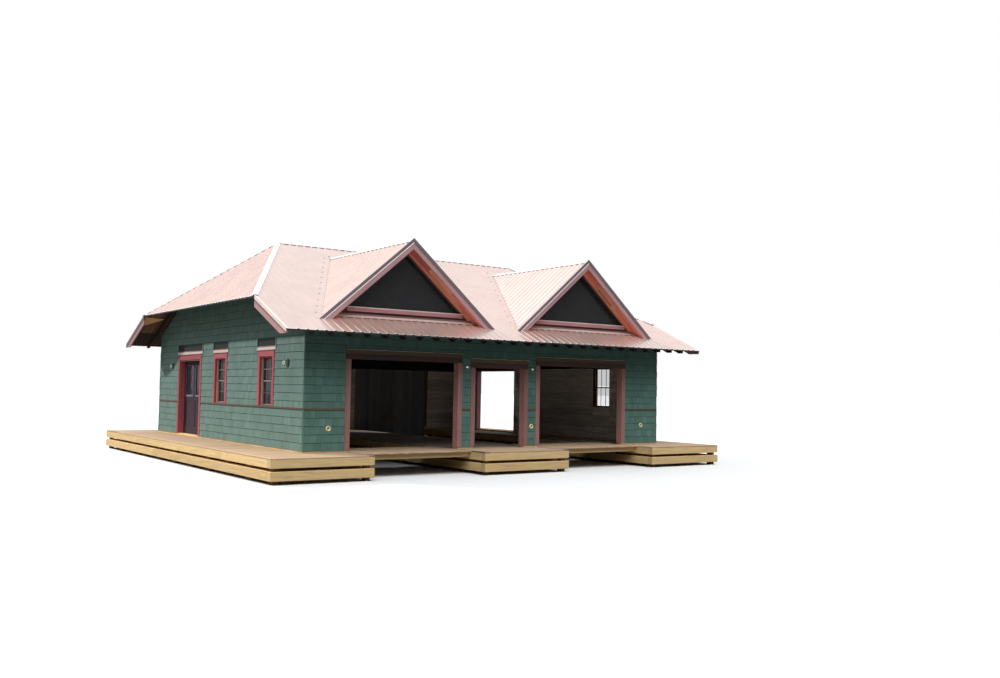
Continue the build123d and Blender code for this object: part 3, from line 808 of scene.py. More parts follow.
def add_shingle(stack, face, s0, s1, bottom, top, ceiling):
    """One shingle: a thick butt, a thin top, and a band under the course above painted dark as the butt's
    shade.
    """
    drop = chance.uniform(*SHINGLE_UNEVEN) if top - bottom > SHINGLE_EXPOSURE * 0.8 else 0.0
    limit = min(ceiling(s0), ceiling(s1))
    high = min(top + SHINGLE_LAP, limit)
    low = bottom + drop
    if high - low < SHORTEST_SHINGLE:
        return
    gap = SHINGLE_GAP * chance.uniform(0.3, 1.0) / 2
    butt = SHINGLE_BUTT * chance.uniform(0.8, 1.0)
    thin = SHINGLE_TOP * chance.uniform(0.5, 1.0)
    tone = chance.random()
    line = max(min(top - SHINGLE_SHADE_BAND, high - 0.002), low + 0.002)
    at_line = butt + (thin - butt) * (line - low) / (high - low)
    for z0, z1, thick0, thick1, slot in ((low, line, butt, at_line, 0), (line, high, at_line, thin, 1)):
        points = []
        for z, thick in ((z0, thick0), (z1, thick1)):
            for s, depth in ((s0 + gap, 0), (s1 - gap, 0), (s1 - gap, thick), (s0 + gap, thick)):
                points.append(face.point(s, depth, z))
        stack.hexa(points, (0, 0, 1), tone, slot)


def on_side(node, axis, sign):
    """Solids of a node that lie on one outside face of the building."""
    wall = (wall_x, wall_y)[axis]
    return [pair for pair in islands(node) if sign * (pair[0][axis] + pair[1][axis]) / 2 > wall - 0.005]


def face_blocks(axis, sign, shift):
    other = 1 - axis
    blocks = []
    for node in ("jamb_casings", "head_casings", "window_casings", "drip_caps"):
        for low, high in on_side(node, axis, sign):
            blocks.append((low[other] - shift, high[other] - shift, low.z, high.z))
    for low, high in on_side("head_casings", axis, sign):
        blocks.append((low[other] - shift, high[other] - shift, base - 0.05, high.z))
    return blocks


def bare_patches(axis, sign, shift):
    """Places over the side windows and doorways where the shingles aren't on yet."""
    other = 1 - axis
    patches = []
    for node in ("head_casings", "window_casings"):
        for low, high in on_side(node, axis, sign):
            start = low[other] - shift - BARE_PATCH_OVER
            end = high[other] - shift + BARE_PATCH_OVER
            patches.append((start, end, high.z, high.z + BARE_PATCH_HEIGHT))
    return patches


def shingle_walls():
    rafter_under = roof.main_z(wall_y) - roof.build - RAFTER_DEPTH
    stack = Stack()
    for sign in (-1, 1):
        face = Face((-wall_x, sign * wall_y, 0), (1, 0, 0), (0, sign, 0), 2 * wall_x)
        blocks = face_blocks(1, sign, -wall_x)
        shingle_face(stack, face, first_course, rafter_under, blocks, lambda s: rafter_under)
    stack.object("long_wall_shingles", [shingles_green, shingle_shade_band])
    stack = Stack()
    for sign in (-1, 1):
        face = Face((sign * wall_x, -wall_y, 0), (0, 1, 0), (sign, 0, 0), 2 * wall_y)
        blocks = face_blocks(0, sign, -wall_y) + bare_patches(0, sign, -wall_y)
        shingle_face(stack, face, first_course, roof.under(wall_x, 0), blocks, end_wall_top)
    stack.object("end_wall_shingles", [shingles_end_sunlit, shingle_shade_band])


def end_wall_top(s):
    """How high the shingles of an end wall reach at this distance along it."""
    return roof.under(wall_x + 0.02, s - wall_y) - 0.004


def corner_edges():
    """Woven corners: the shingle ends that show along each upright corner."""
    stack = Stack()
    top = roof.under(wall_x, wall_y) - 0.02
    for sx, sy in CORNERS:
        z = first_course
        while z < top:
            high = min(z + SHINGLE_EXPOSURE - 0.006, top)
            reach = SHINGLE_BUTT * chance.uniform(0.9, 1.3)
            depth = chance.uniform(0.018, 0.032)
            x0, x1 = ordered(sx, wall_x - depth, wall_x + reach)
            y0, y1 = ordered(sy, wall_y - depth, wall_y + reach)
            stack.box((x0, y0, z), (x1, y1, high), (0, 0, 1), chance.uniform(0.9, 1.0))
            z += SHINGLE_EXPOSURE
    stack.object("corner_shingle_ends", shingles_green)


def patch_edges():
    """Shingle edges on both sides of each bare patch, pale as a painted highlight where sun catches their
    cut ends, and the flashing strip along its foot.
    """
    edges = Stack()
    flashings = Stack()
    for sign in (-1, 1):
        for s0, s1, low, high in bare_patches(0, sign, -wall_y):
            y0, y1 = s0 - wall_y, s1 - wall_y
            x0, x1 = ordered(sign, wall_x - WALL_BITE, wall_x + SHINGLE_BUTT + 0.006)
            for y in (y0, y1):
                start, end = y - PATCH_EDGE / 2, y + PATCH_EDGE / 2
                edges.box((x0, start, low - 0.03), (x1, end, high), (0, 0, 1), 1.0)
            x0, x1 = ordered(sign, wall_x, wall_x + 0.020)
            flashings.board((x0, y0 + 0.014, low - 0.004), (x1, y1 - 0.014, low + HEAD_FLASHING), 0.002)
            x0, x1 = ordered(sign, wall_x - WALL_BITE, wall_x + 0.008)
            top = low + HEAD_FLASHING + BARE_BOARD_OVER
            flashings.board((x0, y0 + 0.02, low), (x1, y1 - 0.02, top), 0.002, slot=1)
    edges.object("patch_edges", edge_green_highlight)
    flashings.object("head_flashing_strips", [flashing_metal, bare_board])


def wall_slabs():
    # The wall slabs and bare patches take the sheathing painted dark as shade
    for node in WALL_NODES:
        paint(node, sheathing_painted_shade)


def inner_boards():
    """Boards across the inside faces of the walls, up to the height of the openings."""
    stack = Stack()
    thickness = INNER_BOARD_THICKNESS
    panels = []
    for node, sign in (("front_wall", -1), ("back_wall", 1)):
        y0, y1 = ordered(sign, inner_y, inner_y - thickness)
        for low, high in islands(node):
            x0 = max(low.x, -inner_x + thickness)
            x1 = min(high.x, inner_x - thickness)
            panels.append(((x0, y0, low.z), (x1, y1, high.z)))
    window_boxes = islands("window_sashes")
    for node, sign in (("left_wall", -1), ("right_wall", 1)):
        x0, x1 = ordered(sign, inner_x, inner_x - thickness)
        for low, high in islands(node):
            spans = [(low.y, high.y, low.z, high.z)]
            for w_low, w_high in window_boxes:
                if w_low.x * sign > 0 and low.y < w_low.y < high.y:
                    spans = [piece for span in spans for piece in cut_span(span, w_low, w_high)]
            for y0, y1, z0, z1 in spans:
                panels.append(((x0, y0, z0), (x1, y1, z1)))
    for (x0, y0, z0), (x1, y1, z1) in panels:
        along = (1, 0, 0) if x1 - x0 > y1 - y0 else (0, 1, 0)
        z = z0
        while z < z1 - NARROWEST_BOARD:
            top = min(z + INNER_BOARD - INNER_GAP, z1)
            stack.board((x0, y0, z), (x1, y1, top), 0.002, along)
            z += INNER_BOARD
    stack.object("inner_boards", inside_wood)


def cut_span(span, low, high):
    """A panel of wall less a window: the parts before, after and below it."""
    y0, y1, z0, z1 = span
    if high.y <= y0 or low.y >= y1:
        return [span]
    return [(y0, low.y, z0, z1), (high.y, y1, z0, z1), (low.y, high.y, z0, low.z)]


# Timbers and boards that follow the solids of a node

def split_length(low, high, axis, longest):
    """Cuts a long timber into lengths that butt end to end. With no longest length it stays whole."""
    if not longest or high[axis] - low[axis] < longest * WHOLE_SHARE:
        return [(low, high)]
    pieces = []
    start = low[axis]
    length = longest * chance.uniform(0.55, 1.0)
    while start < high[axis] - 0.01:
        end = min(start + length, high[axis])
        if high[axis] - end < longest * STUB_SHARE:
            end = high[axis]
        one, two = low.copy(), high.copy()
        one[axis] = start
        two[axis] = end - (SAW_GAP if end < high[axis] else 0.0)
        pieces.append((one, two))
        start = end
        length = longest
    return pieces


def boards_from(node, materials, chamfer=0.003, longest=None, slot_of=None, name=None):
    """Boards in place of a node's solids. slot_of picks the material of each."""
    stack = Stack()
    for low, high in islands(node):
        size = high - low
        axis = max(range(3), key=lambda index: size[index])
        slot = slot_of(low, high) if slot_of else 0
        for one, two in split_length(low, high, axis, longest):
            stack.board(one, two, chamfer, slot=slot)
    stack.object(name or node + "_boards", materials, replaces=(node,))


def deck_boards():
    """Boards across each crib between one long board at each side, and the boards of the walkway."""
    pitch = DECK_BOARD + DECK_GAP
    stack = Stack()
    for low, high in islands("deck_slabs"):
        for x0, x1 in ((low.x, low.x + DECK_BOARD), (high.x - DECK_BOARD, high.x)):
            ends = (Vector((x0, low.y, low.z)), Vector((x1, high.y, high.z)))
            for one, two in split_length(*ends, 1, BOARD_LENGTH):
                stack.board(one, two, DECK_CHAMFER, slot=under_roof(x0, (one.y + two.y) / 2))
        count = round((high.y - low.y) / pitch)
        step = (high.y - low.y + DECK_GAP) / count
        x0, x1 = low.x + pitch, high.x - pitch
        for i in range(count):
            y = low.y + step * i
            top = high.z + chance.uniform(-DECK_UNEVEN, 0.0)
            cuts = sorted({x0, x1} | {x for x in (-inner_x, inner_x) if x0 < x < x1 and abs(y) < inner_y})
            for start, end in zip(cuts, cuts[1:]):
                slot = under_roof((start + end) / 2, y)
                corner = (end, y + step - DECK_GAP, top)
                stack.board((start, y, low.z + DECK_UNEVEN), corner, DECK_CHAMFER, slot=slot)
    stack.object("deck_boards", [deck_wood, deck_inside_painted_shade], replaces=("deck_slabs",))
    stack = Stack()
    for low, high in islands("walkway_slabs"):
        count = round((high.x - low.x) / pitch)
        step = (high.x - low.x + DECK_GAP) / count
        for i in range(count):
            x = low.x + step * i
            top = high.z + chance.uniform(-DECK_UNEVEN, 0.0)
            stack.board((x, low.y, low.z), (x + step - DECK_GAP, high.y, top), DECK_CHAMFER)
    stack.object("walkway_boards", deck_wood, replaces=("walkway_slabs",))


def under_roof(x, y):
    """1 inside the walls and 0 outside, as the slot of a deck board; boards inside take a darker copy of the
    deck, painted as the shade under the roof.
    """
    return int(abs(x) < inner_x and abs(y) < inner_y)


def timbers():
    """Timbers of the cribs, trimmed where the two courses meet. The blocks there are as much taller, and
    painted dark as the shade in the gap.
    """
    lowest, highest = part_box("crib_side_timbers")
    middle = (lowest[2] + highest[2]) / 2
    for node, chamfer, longest, trimmed, material in (
        ("crib_side_timbers", 0.008, TIMBER_LENGTH, GAP_TRIM, timber),
        ("crib_end_timbers", 0.008, None, GAP_TRIM, timber),
        ("crib_cross_timbers", 0.008, None, GAP_TRIM, timber),
        ("crib_blocks", 0.006, None, -GAP_TRIM, timber_painted_shade),
    ):
        stack = Stack()
        for low, high in islands(node):
            height = (low.z + high.z) / 2
            if low.z > 0.01 and height < middle + COURSE_REACH:
                high.z -= trimmed
            if low.z > 0.01 and height > middle - COURSE_REACH:
                low.z += trimmed
            size = high - low
            axis = max(range(2), key=lambda index: size[index])
            for one, two in split_length(low, high, axis, longest):
                stack.board(one, two, chamfer)
        stack.object(node + "_boards", material, replaces=(node,))
    boards_from("sill_plates", timber, longest=BOARD_LENGTH)


def trim():
    """Liners, casings, drip caps and belts of the openings."""
    boards_from(
        "jamb_liners", [trim_liner, trim_deep_red], 0.002,
        slot_of=lambda low, high: int(high.x < 0.1 - inner_x),
    )
    boards_from("opening_heads", trim_brown, 0.002)
    boards_from(
        "jamb_casings", [trim_brown, trim_red],
        slot_of=lambda low, high: int(on_end_wall(low, high)), name="jamb_casing_boards",
    )
    stack = Stack()
    for low, high in islands("head_casings"):
        if on_end_wall(low, high):
            stack.board(low, high, slot=1)
        else:
            stepped_casing(stack, low, high)
    woods = [trim_head_painted_shade, trim_red, trim_olive]
    stack.object("head_casing_boards", woods, replaces=("head_casings",))
    stack = Stack()
    for low, high in islands("drip_caps"):
        add_drip(stack, low, high)
    stack.object("drip_cap_strips", flashing_metal, replaces=("drip_caps",))
    boards_from("belt_boards", trim_olive, 0.004, BOARD_LENGTH)


def stepped_casing(stack, low, high):
    """A head casing over a bay: the upper part is set back a little, and the lower board is painted near
    black as the shade under the eave.
    """
    middle = low.z + (high.z - low.z) * HEAD_SPLIT
    stack.board(low, (high.x, high.y, middle))
    outer, wall = (low.y, high.y) if low.y < 0 else (high.y, low.y)
    y0, y1 = sorted((outer + math.copysign(HEAD_STEP, -outer), wall))
    stack.board((low.x, y0, middle), (high.x, y1, high.z), slot=2)


def add_drip(stack, low, high):
    """A bent strip over a head casing: it slopes out and turns down at its edge."""
    across, along = (0, 1) if on_end_wall(low, high) else (1, 0)
    sign = -1 if low[across] < 0 else 1
    wall = sign * (wall_x, wall_y)[across]
    edge = low[across] if sign < 0 else high[across]
    start, end = low[along], high[along]
    fold = low.z + DRIP_LIP

    def place(depth, run, z):
        point = [0, 0, z]
        point[across], point[along] = depth, run
        return tuple(point)

    sheet = []
    for wall_z, edge_z in ((high.z - DRIP_METAL, fold - DRIP_METAL), (high.z, fold)):
        sheet += [place(wall, start, wall_z), place(wall, end, wall_z)]
        sheet += [place(edge, end, edge_z), place(edge, start, edge_z)]
    lip_back = edge - sign * DRIP_METAL
    lip = []
    for z in (low.z, fold):
        lip += [place(lip_back, start, z), place(lip_back, end, z)]
        lip += [place(edge, end, z), place(edge, start, z)]
    for body in (sheet, lip):
        stack.hexa(body, place(0, 1, 0), 0.5)


# Windows

def window_parts():
    casings = Stack()
    sashes = Stack()
    for low, high in islands("window_casings"):
        sash_low, sash_high = sash_inside(low, high)
        casings.board(low, (high.x, sash_low.y, sash_high.z))
        casings.board((low.x, sash_high.y, low.z), (high.x, high.y, sash_high.z))
        casings.board((low.x, low.y, sash_high.z), high)
        reveal(casings, sash_low, sash_high)
    for low, high in islands("window_sashes"):
        add_sash(sashes, low, high)
    woods = [trim_red, trim_deep_red, reveal_bare_lit]
    casings.object("window_casing_boards", woods, replaces=("window_casings",))
    woods = [trim_deep_red, sash_grey, trim_dark]
    sashes.object("window_sash_bars", woods, replaces=("window_sashes",))


def sash_inside(low, high):
    """The window sash that a casing goes round."""
    for sash in islands("window_sashes"):
        if low.y < sash[0].y < high.y and low.x * sash[0].x > 0:
            return sash


def reveal(stack, low, high):
    """Thin boards that line the window opening: a painted one by the casing, and a bare one by the sash
    whose colour is raised as painted light in the shaded reveal.
    """
    sign = -1 if low.x < 0 else 1
    face = sign * wall_x
    glass_side = low.x if sign > 0 else high.x
    seam = face + (glass_side - face) * 0.3
    lining = 0.016
    for start, end, slot in ((face, seam, 1), (seam, glass_side, 2)):
        x0, x1 = sorted((start, end))
        for y0, y1, z0, z1 in (
            (low.y, low.y + lining, low.z, high.z),
            (high.y - lining, high.y, low.z, high.z),
            (low.y, high.y, high.z - lining, high.z),
            (low.y, high.y, low.z, low.z + lining),
        ):
            stack.board((x0, y0, z0), (x1, y1, z1), 0.001, slot=slot)


def add_sash(stack, low, high):
    """Two sashes, the lower one set in, each with two upright bars and, on the left wall, a level one."""
    stile = 0.045
    rail = 0.04
    bar = 0.020
    lap = 0.02
    left_wall = low.x < 0
    # On the right wall the frames are painted near black as the shade of the dark inside
    frame_slot = 0 if left_wall else 2
    middle = (low.x + high.x) / 2
    halves = [(low.x, middle), (middle, high.x)]
    outer, inner = halves if left_wall else halves[::-1]
    meeting = (low.z + high.z) / 2
    y0, y1 = low.y + 0.016, high.y - 0.016
    light = (y1 - y0 - 2 * stile) / 3
    inset = (high.x - low.x) * 0.1
    for (x0, x1), z0, z1 in ((outer, meeting - lap, high.z), (inner, low.z, meeting + lap)):
        boards = [(x0, y0, z0, x1, y0 + stile, z1, frame_slot)]
        boards.append((x0, y1 - stile, z0, x1, y1, z1, frame_slot or 1))
        boards.append((x0, y0 + stile, z0, x1, y1 - stile, z0 + rail, 1))
        boards.append((x0, y0 + stile, z1 - rail, x1, y1 - stile, z1, frame_slot))
        thin0, thin1 = x0 + inset, x1 - inset
        for y in (y0 + stile + light, y0 + stile + light * 2):
            boards.append((thin0, y - bar / 2, z0 + rail, thin1, y + bar / 2, z1 - rail, 1))
        if left_wall:
            z = (z0 + z1) / 2
            boards.append((thin0, y0 + stile, z - bar / 2, thin1, y1 - stile, z + bar / 2, 1))
        for board in boards:
            stack.board(board[:3], board[3:6], 0.002, slot=board[6])


# Roof

def add_rib(stack, start, end, across, up):
    """A rib: a low bar with sloping sides from start to end, lying on a roof plane."""
    start, end, across = Vector(start), Vector(end), Vector(across)
    foot, crest = RIB_FOOT / 2, RIB_CREST / 2
    outline = [(-foot, 0), (foot, 0), (crest, RIB_HEIGHT), (-crest, RIB_HEIGHT)]
    corners = [start + across * side + up * height for side, height in outline]
    stack.prism(corners, end - start, end - start, 0.5)


def rib_lines(half):
    """Places of the ribs from the middle of a slope outwards, up to half its length."""
    count = int(half // RIB_SPACING)
    return [RIB_SPACING * i for i in range(-count, count + 1)]


def main_ribs(stack):
    """Ribs up the long slopes; they stop at the hips, the dormers and the bands beside the valleys."""
    gap = roof.valley_gap(VALLEY_BAND)
    for front in (-1, 1):
        for x in rib_lines(roof.x - RIB_FOOT):
            distance = min(abs(x - axis) for axis in roof.axes)
            near = max(roof.hip_y(x) + RIB_STOP, 0.04)
            runs = []
            far = roof.y
            if distance < roof.dormer_reach(roof.face_y):
                stop = min(max(roof.soffit_y(distance), -roof.gable_y), -roof.face_y)
                runs.append((roof.y, stop + 0.004))
                far = roof.valley_y(distance) - gap
            if far > near + 0.05:
                runs.append((far, near))
            for low_y, high_y in runs:
                start = (x, front * low_y, roof.main_z(low_y))
                end = (x, front * high_y, roof.main_z(high_y))
                add_rib(stack, start, end, (1, 0, 0), roof.main_normal(front))


def clip_ribs(stack):
    for side in (-1, 1):
        for y in rib_lines(roof.clip_y - 0.04):
            x = roof.hip_x(y) + RIB_STOP
            if roof.x - x < 0.05:
                continue
            start = (side * roof.x, y, roof.clip_z)
            end = (side * x, y, roof.clip_plane_z(x))
            add_rib(stack, start, end, (0, 1, 0), side_normal(side, roof.clip_slope))


def dormer_ribs(stack):
    for axis, front in dormers():
        y = -roof.face_y - 0.08
        while y > roof.dormer_back + 0.1:
            for side in (-1, 1):
                ends = []
                for reach in (roof.dormer_reach(y) - 0.01, RIB_STOP):
                    ends.append((axis + side * reach, front * y, roof.peak_z - roof.dormer_slope * reach))
                add_rib(stack, *ends, (0, 1, 0), side_normal(side, roof.dormer_slope))
            y -= RIB_SPACING


def roof_skins():
    """The planes of the roof, the ribs on them, and the fluted ends of the sheets past the eaves."""
    def face_slot(polygon):
        if polygon.normal.z > 0.3:
            return 0
        return 1 if polygon.normal.z < -0.3 else 2

    # Undersides and edges of the roof skins are painted near black as their shade
    for node in ROOF_SKINS:
        dressed(node, face_slot, [roof_metal, soffit_painted_shade, painted_shade_metal])
    for name, ribs_of in (("roof_ribs", main_ribs), ("clip_ribs", clip_ribs), ("dormer_ribs", dormer_ribs)):
        stack = Stack()
        ribs_of(stack)
        stack.object(name, roof_metal)
    stack = Stack()
    for side in (-1, 1):
        long_edge = Vector((0, side, -roof.slope)).normalized()
        corner = Vector((0, side * roof.y, roof.eave_z))
        ribs = rib_lines(roof.x - RIB_FOOT)
        sheet_ends(stack, corner, (1, 0, 0), long_edge, roof.main_normal(side), ribs, roof.x)
        short_edge = Vector((side, 0, -roof.clip_slope)).normalized()
        corner = Vector((side * roof.x, 0, roof.clip_z))
        ribs = rib_lines(roof.clip_y - 0.09)
        up = side_normal(side, roof.clip_slope)
        sheet_ends(stack, corner, (0, 1, 0), short_edge, up, ribs, roof.clip_y)
    stack.object("roof_sheet_ends", [cap_metal, painted_shade_metal])


def sheet_ends(stack, middle, along, out, up, ribs, half):
    """The roof sheets where they reach past an eave: flats, and hollow ribs closed by dark plugs painted as
    the shade inside them.
    """
    along, out, up = Vector(along), Vector(out), Vector(up)
    edges = [-half]
    for rib in ribs:
        edges += [rib - RIB_FOOT / 2, rib + RIB_FOOT / 2]
    edges.append(half)

    def plate(first, second, reach=SHEET_OVERHANG, slot=0):
        outline = [middle + along * place + up * height for place, height in first + second[::-1]]
        stack.prism(outline, out * reach, out, 0.5, slot)

    def fluted(rib, inset, drop):
        foot, crest = RIB_FOOT / 2 - inset, RIB_CREST / 2 - drop
        top = RIB_HEIGHT - drop
        return [(rib - foot, 0), (rib - crest, top), (rib + crest, top), (rib + foot, 0)]

    for start, end in zip(edges[::2], edges[1::2]):
        plate([(start, 0), (end, 0)], [(start, -SHEET), (end, -SHEET)])
    for rib in ribs:
        outer = fluted(rib, 0, 0)
        inner = fluted(rib, SHEET * 2, SHEET)
        for i in range(3):
            plate(outer[i:i + 2], inner[i:i + 2])
        plate(inner[:2], inner[2:][::-1], SHEET, 1)


def cap_strip(stack, start, end, wing, normal, other_normal, open_ends=()):
    """One wing of a cap along a ridge or hip: a thin sheet on the ribs, a dark strip under its edge and dark
    plugs at its open ends, painted as the shade there.
    """
    wing, normal, other_normal = Vector(wing).normalized(), Vector(normal), Vector(other_normal)
    crest = (normal + other_normal).normalized()
    inner = crest.dot(wing) * RIB_HEIGHT / crest.dot(normal)
    line = end - start
    plug = line.normalized() * CAP_PLUG

    def piece(near, far, low, high, slot, origin=start, length=line):
        outline = [(near, low), (far, low), (far, high), (near, high)]
        corners = [origin + wing * reach + normal * height for reach, height in outline]
        stack.prism(corners, length, line, 0.5, slot)

    piece(inner, CAP_WING, RIB_HEIGHT, RIB_HEIGHT + SHEET, 0)
    piece(CAP_WING - 2 * CAP_EDGE, CAP_WING - CAP_EDGE, 0.0, RIB_HEIGHT, 1)
    top = RIB_HEIGHT + SHEET + 0.003
    for name, near, origin in (
        ("start", CAP_WING - 0.03, start),
        ("end", CAP_WING - 0.03, end - plug),
        ("foot", 0.0, end - plug * 1.1),
    ):
        if name in open_ends:
            piece(near, CAP_WING, 0.0, top, 1, origin, plug)


def caps():
    """The cap sheets along the ridges and hips."""
    stack = Stack()
    sink = Vector((0, 0, -0.003))
    for front in (-1, 1):
        ends = [Vector((side * roof.ridge_half, 0, roof.ridge_z)) + sink for side in (-1, 1)]
        wing = Vector((0, front, -roof.slope))
        cap_strip(stack, *ends, wing, roof.main_normal(front), roof.main_normal(-front), ("start", "end"))
    for axis, front in dormers():
        start = Vector((axis, front * -roof.face_y, roof.peak_z)) + sink
        end = Vector((axis, front * (roof.dormer_back + 0.12), roof.peak_z)) + sink
        for side in (-1, 1):
            normals = [side_normal(facing, roof.dormer_slope) for facing in (side, -side)]
            cap_strip(stack, start, end, Vector((side, 0, -roof.dormer_slope)), *normals, ("end",))
    stack.object("ridge_cap_sheets", [cap_metal, painted_shade_metal], replaces=("ridge_caps",))
    stack = Stack()
    for sx, sy in CORNERS:
        top = Vector((sx * roof.ridge_half, 0, roof.ridge_z)) + sink
        foot = Vector((sx * roof.x, sy * roof.clip_y, roof.clip_z)) + sink
        line = (foot - top).normalized()
        long_normal = roof.main_normal(sy)
        end_normal = side_normal(sx, roof.clip_slope)
        for normal, other, outward in (
            (long_normal, end_normal, Vector((0, sy, 0))),
            (end_normal, long_normal, Vector((sx, 0, 0))),
        ):
            wing = normal.cross(line)
            if wing.dot(outward) < 0:
                wing = -wing
            cap_strip(stack, top, foot, wing, normal, other, ("foot",))
    stack.object("hip_cap_sheets", [cap_metal, painted_shade_metal], replaces=("hip_caps",))


def valley_flashings():
    """A flat strip on the main slope beside each dormer valley."""
    stack = Stack()
    for axis, front in dormers():
        normal = roof.main_normal(front)
        for side in (-1, 1):
            foot, top = roof.valley_ends(axis, front, side)
            wing = normal.cross(top - foot).normalized()
            if wing.x * side < 0:
                wing = -wing
            outline = [foot, top, top + wing * VALLEY_BAND, foot + wing * VALLEY_BAND]
            stack.prism(outline, normal * 0.003, top - foot, 0.5)
    stack.object("valley_flashings", roof_metal)


def dormer_trim():
    """On each dormer: the metal edge, a line painted as the highlight on the board's lit top edge, the board
    below it, the soffit and the apron.
    """
    boards = Stack()
    edges = Stack()
    soffits = Stack()
    aprons = Stack()
    face, board_back, gable = -roof.face_y, -roof.board_y, -roof.gable_y
    highlight_low = EDGE_BELOW + HIGHLIGHT_LINE
    for axis, front in dormers():
        for side in (-1, 1):
            here = (axis, side)
            slope_bar(edges, *here, -EDGE_ABOVE, EDGE_BELOW, front * (face + 0.012), front * face, 0)
            slope_bar(edges, *here, -EDGE_ABOVE, 0.0, front * face, front * (face - 0.030), 0)
            # The line is a pale painted highlight on one side of the dormer and a brown shaded copy on the
            # other
            slot = 1 if side < 0 else 2
            slope_bar(edges, *here, EDGE_BELOW, highlight_low, front * (face + 0.007), front * face, slot)
            slope_bar(boards, *here, roof.board_top, roof.board_low, front * face, front * board_back, 0)
            soffit_boards(soffits, axis, side, front, board_back, gable)
        apron(aprons, axis, front, gable)
    boards.object("dormer_rake_boards", rake_mauve, replaces=("dormer_rakes",))
    edges.object("dormer_edge_strips", [dormer_edge_metal, highlight_metal, line_brown_shaded])
    soffits.object("dormer_soffit_boards", [soffit_orange, soffit_red])
    aprons.object("dormer_aprons", [apron_metal, rake_brown, painted_shade_metal])


def slope_bar(stack, axis, side, top, low, outer, inner, slot, start=0.0, end=None, tone=None):
    """A bar between two levels below a dormer's slope, down to the main roof or to a given end."""
    points = []
    for y in (inner, outer):
        for drop in (low, top):
            far = roof.dormer_reach(y, drop) if end is None else end
            for distance in (start, far) if drop == low else (far, start):
                points.append((axis + side * distance, y, roof.peak_z - drop - roof.dormer_slope * distance))
    stack.hexa(points, Vector((side, 0, -roof.dormer_slope)), tone, slot)


def soffit_boards(stack, axis, side, front, outer, inner):
    """Rows of boards under a dormer's eave, each in three lengths."""
    step = (outer - inner) / SOFFIT_ROWS
    for row in range(SOFFIT_ROWS):
        y0, y1 = front * (outer - step * row), front * (outer - step * (row + 1) + 0.003)
        reach = roof.dormer_reach(y1, roof.board_low)
        cuts = [0.0, reach * chance.uniform(0.2, 0.35), reach * chance.uniform(0.5, 0.75)]
        for index, start in enumerate(cuts):
            end = cuts[index + 1] - 0.002 if index < 2 else None
            slot = (1, 0, 1)[index] if chance.random() < 0.6 else 0
            level = roof.board_low - SOFFIT_BOARD
            slope_bar(stack, axis, side, level, roof.board_low, y0, y1, slot, start, end)


def apron(stack, axis, front, gable):
    """The flashing on the ribs below a dormer's wall, a dark strip under its edge painted as the shade of
    the gap, and the board above.
    """
    normal = roof.main_normal(front)

    def sheet(near, far, low, high, slot):
        corners = []
        for y, sides in ((near, (-1, 1)), (far, (1, -1))):
            for side in sides:
                reach = max(roof.dormer_reach(y, roof.board_low), 0.1)
                corners.append(Vector((axis + side * reach, front * y, roof.main_z(y))) + normal * low)
        stack.prism(corners, normal * (high - low), (1, 0, 0), 0.5, slot)

    lower = gable + APRON_REACH
    sheet(gable, lower, RIB_HEIGHT, RIB_HEIGHT + SHEET, 0)
    sheet(lower - 0.016, lower - 0.006, 0.0, RIB_HEIGHT, 2)
    reach = roof.dormer_reach(gable, roof.board_low)
    low = roof.main_z(gable) + RIB_HEIGHT + SHEET
    y0, y1 = ordered(front, gable, gable + 0.016)
    stack.box((axis - reach, y0, low), (axis + reach, y1, low + APRON_BOARD), (1, 0, 0), 0.5, 1)


def gable_frames():
    """Sloping boards on each gable beside the pane, the dark stop along the glass, and a bead on it."""
    stack = Stack()
    gable = -roof.gable_y
    for low, high in islands("glass_panes"):
        if not in_gable((low.x + high.x) / 2):
            continue
        front = -1 if low.y < 0 else 1
        axis = (low.x + high.x) / 2
        drop = roof.peak_z - high.z
        stop = drop - GABLE_STOP
        for side in (-1, 1):
            here = (axis, side)
            face = front * gable
            slope_bar(stack, *here, roof.board_low, stop, front * (gable + 0.012), face, 0, tone=0.6)
            slope_bar(stack, *here, stop, drop, front * (gable + 0.008), face, 1, tone=0.5)
            faces = (front * (gable + 0.014), front * (gable + 0.006))
            slope_bar(stack, *here, drop - GABLE_BEAD, drop, *faces, 2, tone=0.5)
    stack.object("gable_stops", [soffit_orange, gable_dark, gable_bead])


def in_gable(x):
    """Whether a pane at this x is in a dormer's gable and not in an end wall."""
    return abs(x) < inner_x - 0.5


def rake_trim():
    """Two boards under each end edge of the roof, cut level at the eave, and the metal strip over them, pale
    on the front half and dark on the back half as lit and shaded copies of one strip.
    """
    boards = Stack()
    strips = Stack()
    middle = roof.build + (roof.rake_low - roof.build) * RAKE_SPLIT
    for sx, sy in CORNERS:
        down = (0, -sy, roof.slope)
        for top, low, set_back, slot in ((roof.build, middle, 0.0, 1), (middle, roof.rake_low, 0.004, 0)):
            outline = rake_outline(sx * (roof.x - set_back), sy, top, low)
            boards.prism(outline, (-sx * (RAKE_THICKNESS - set_back), 0, 0), down, None, slot)
        face = STRIP_FACE if sy < 0 else STRIP_FACE * 1.35
        # Front halves of the strips take the lit copy, back halves the shaded one
        slot = 0 if sy < 0 else 1
        strips.prism(strip_band(sx, sy, STRIP_RISE, -face), (sx * 0.005, 0, 0), down, 0.5, slot)
        strips.prism(strip_band(sx, sy, 0.0, STRIP_RISE), (-sx * 0.05, 0, 0), down, 0.5, slot)
    boards.object("rake_board_pairs", [rake_mauve, rake_brown], replaces=("rake_boards",))
    strips.object("rake_strips", [strip_metal_lit, strip_metal_shaded])


def strip_band(sx, sy, first, second):
    """A band along an end edge of the roof, between two levels measured from its face."""
    ends = [(roof.clip_y, first), (roof.y, first), (roof.y, second), (roof.clip_y, second)]
    return [(sx * roof.x, sy * y, roof.main_z(y) + rise) for y, rise in ends]


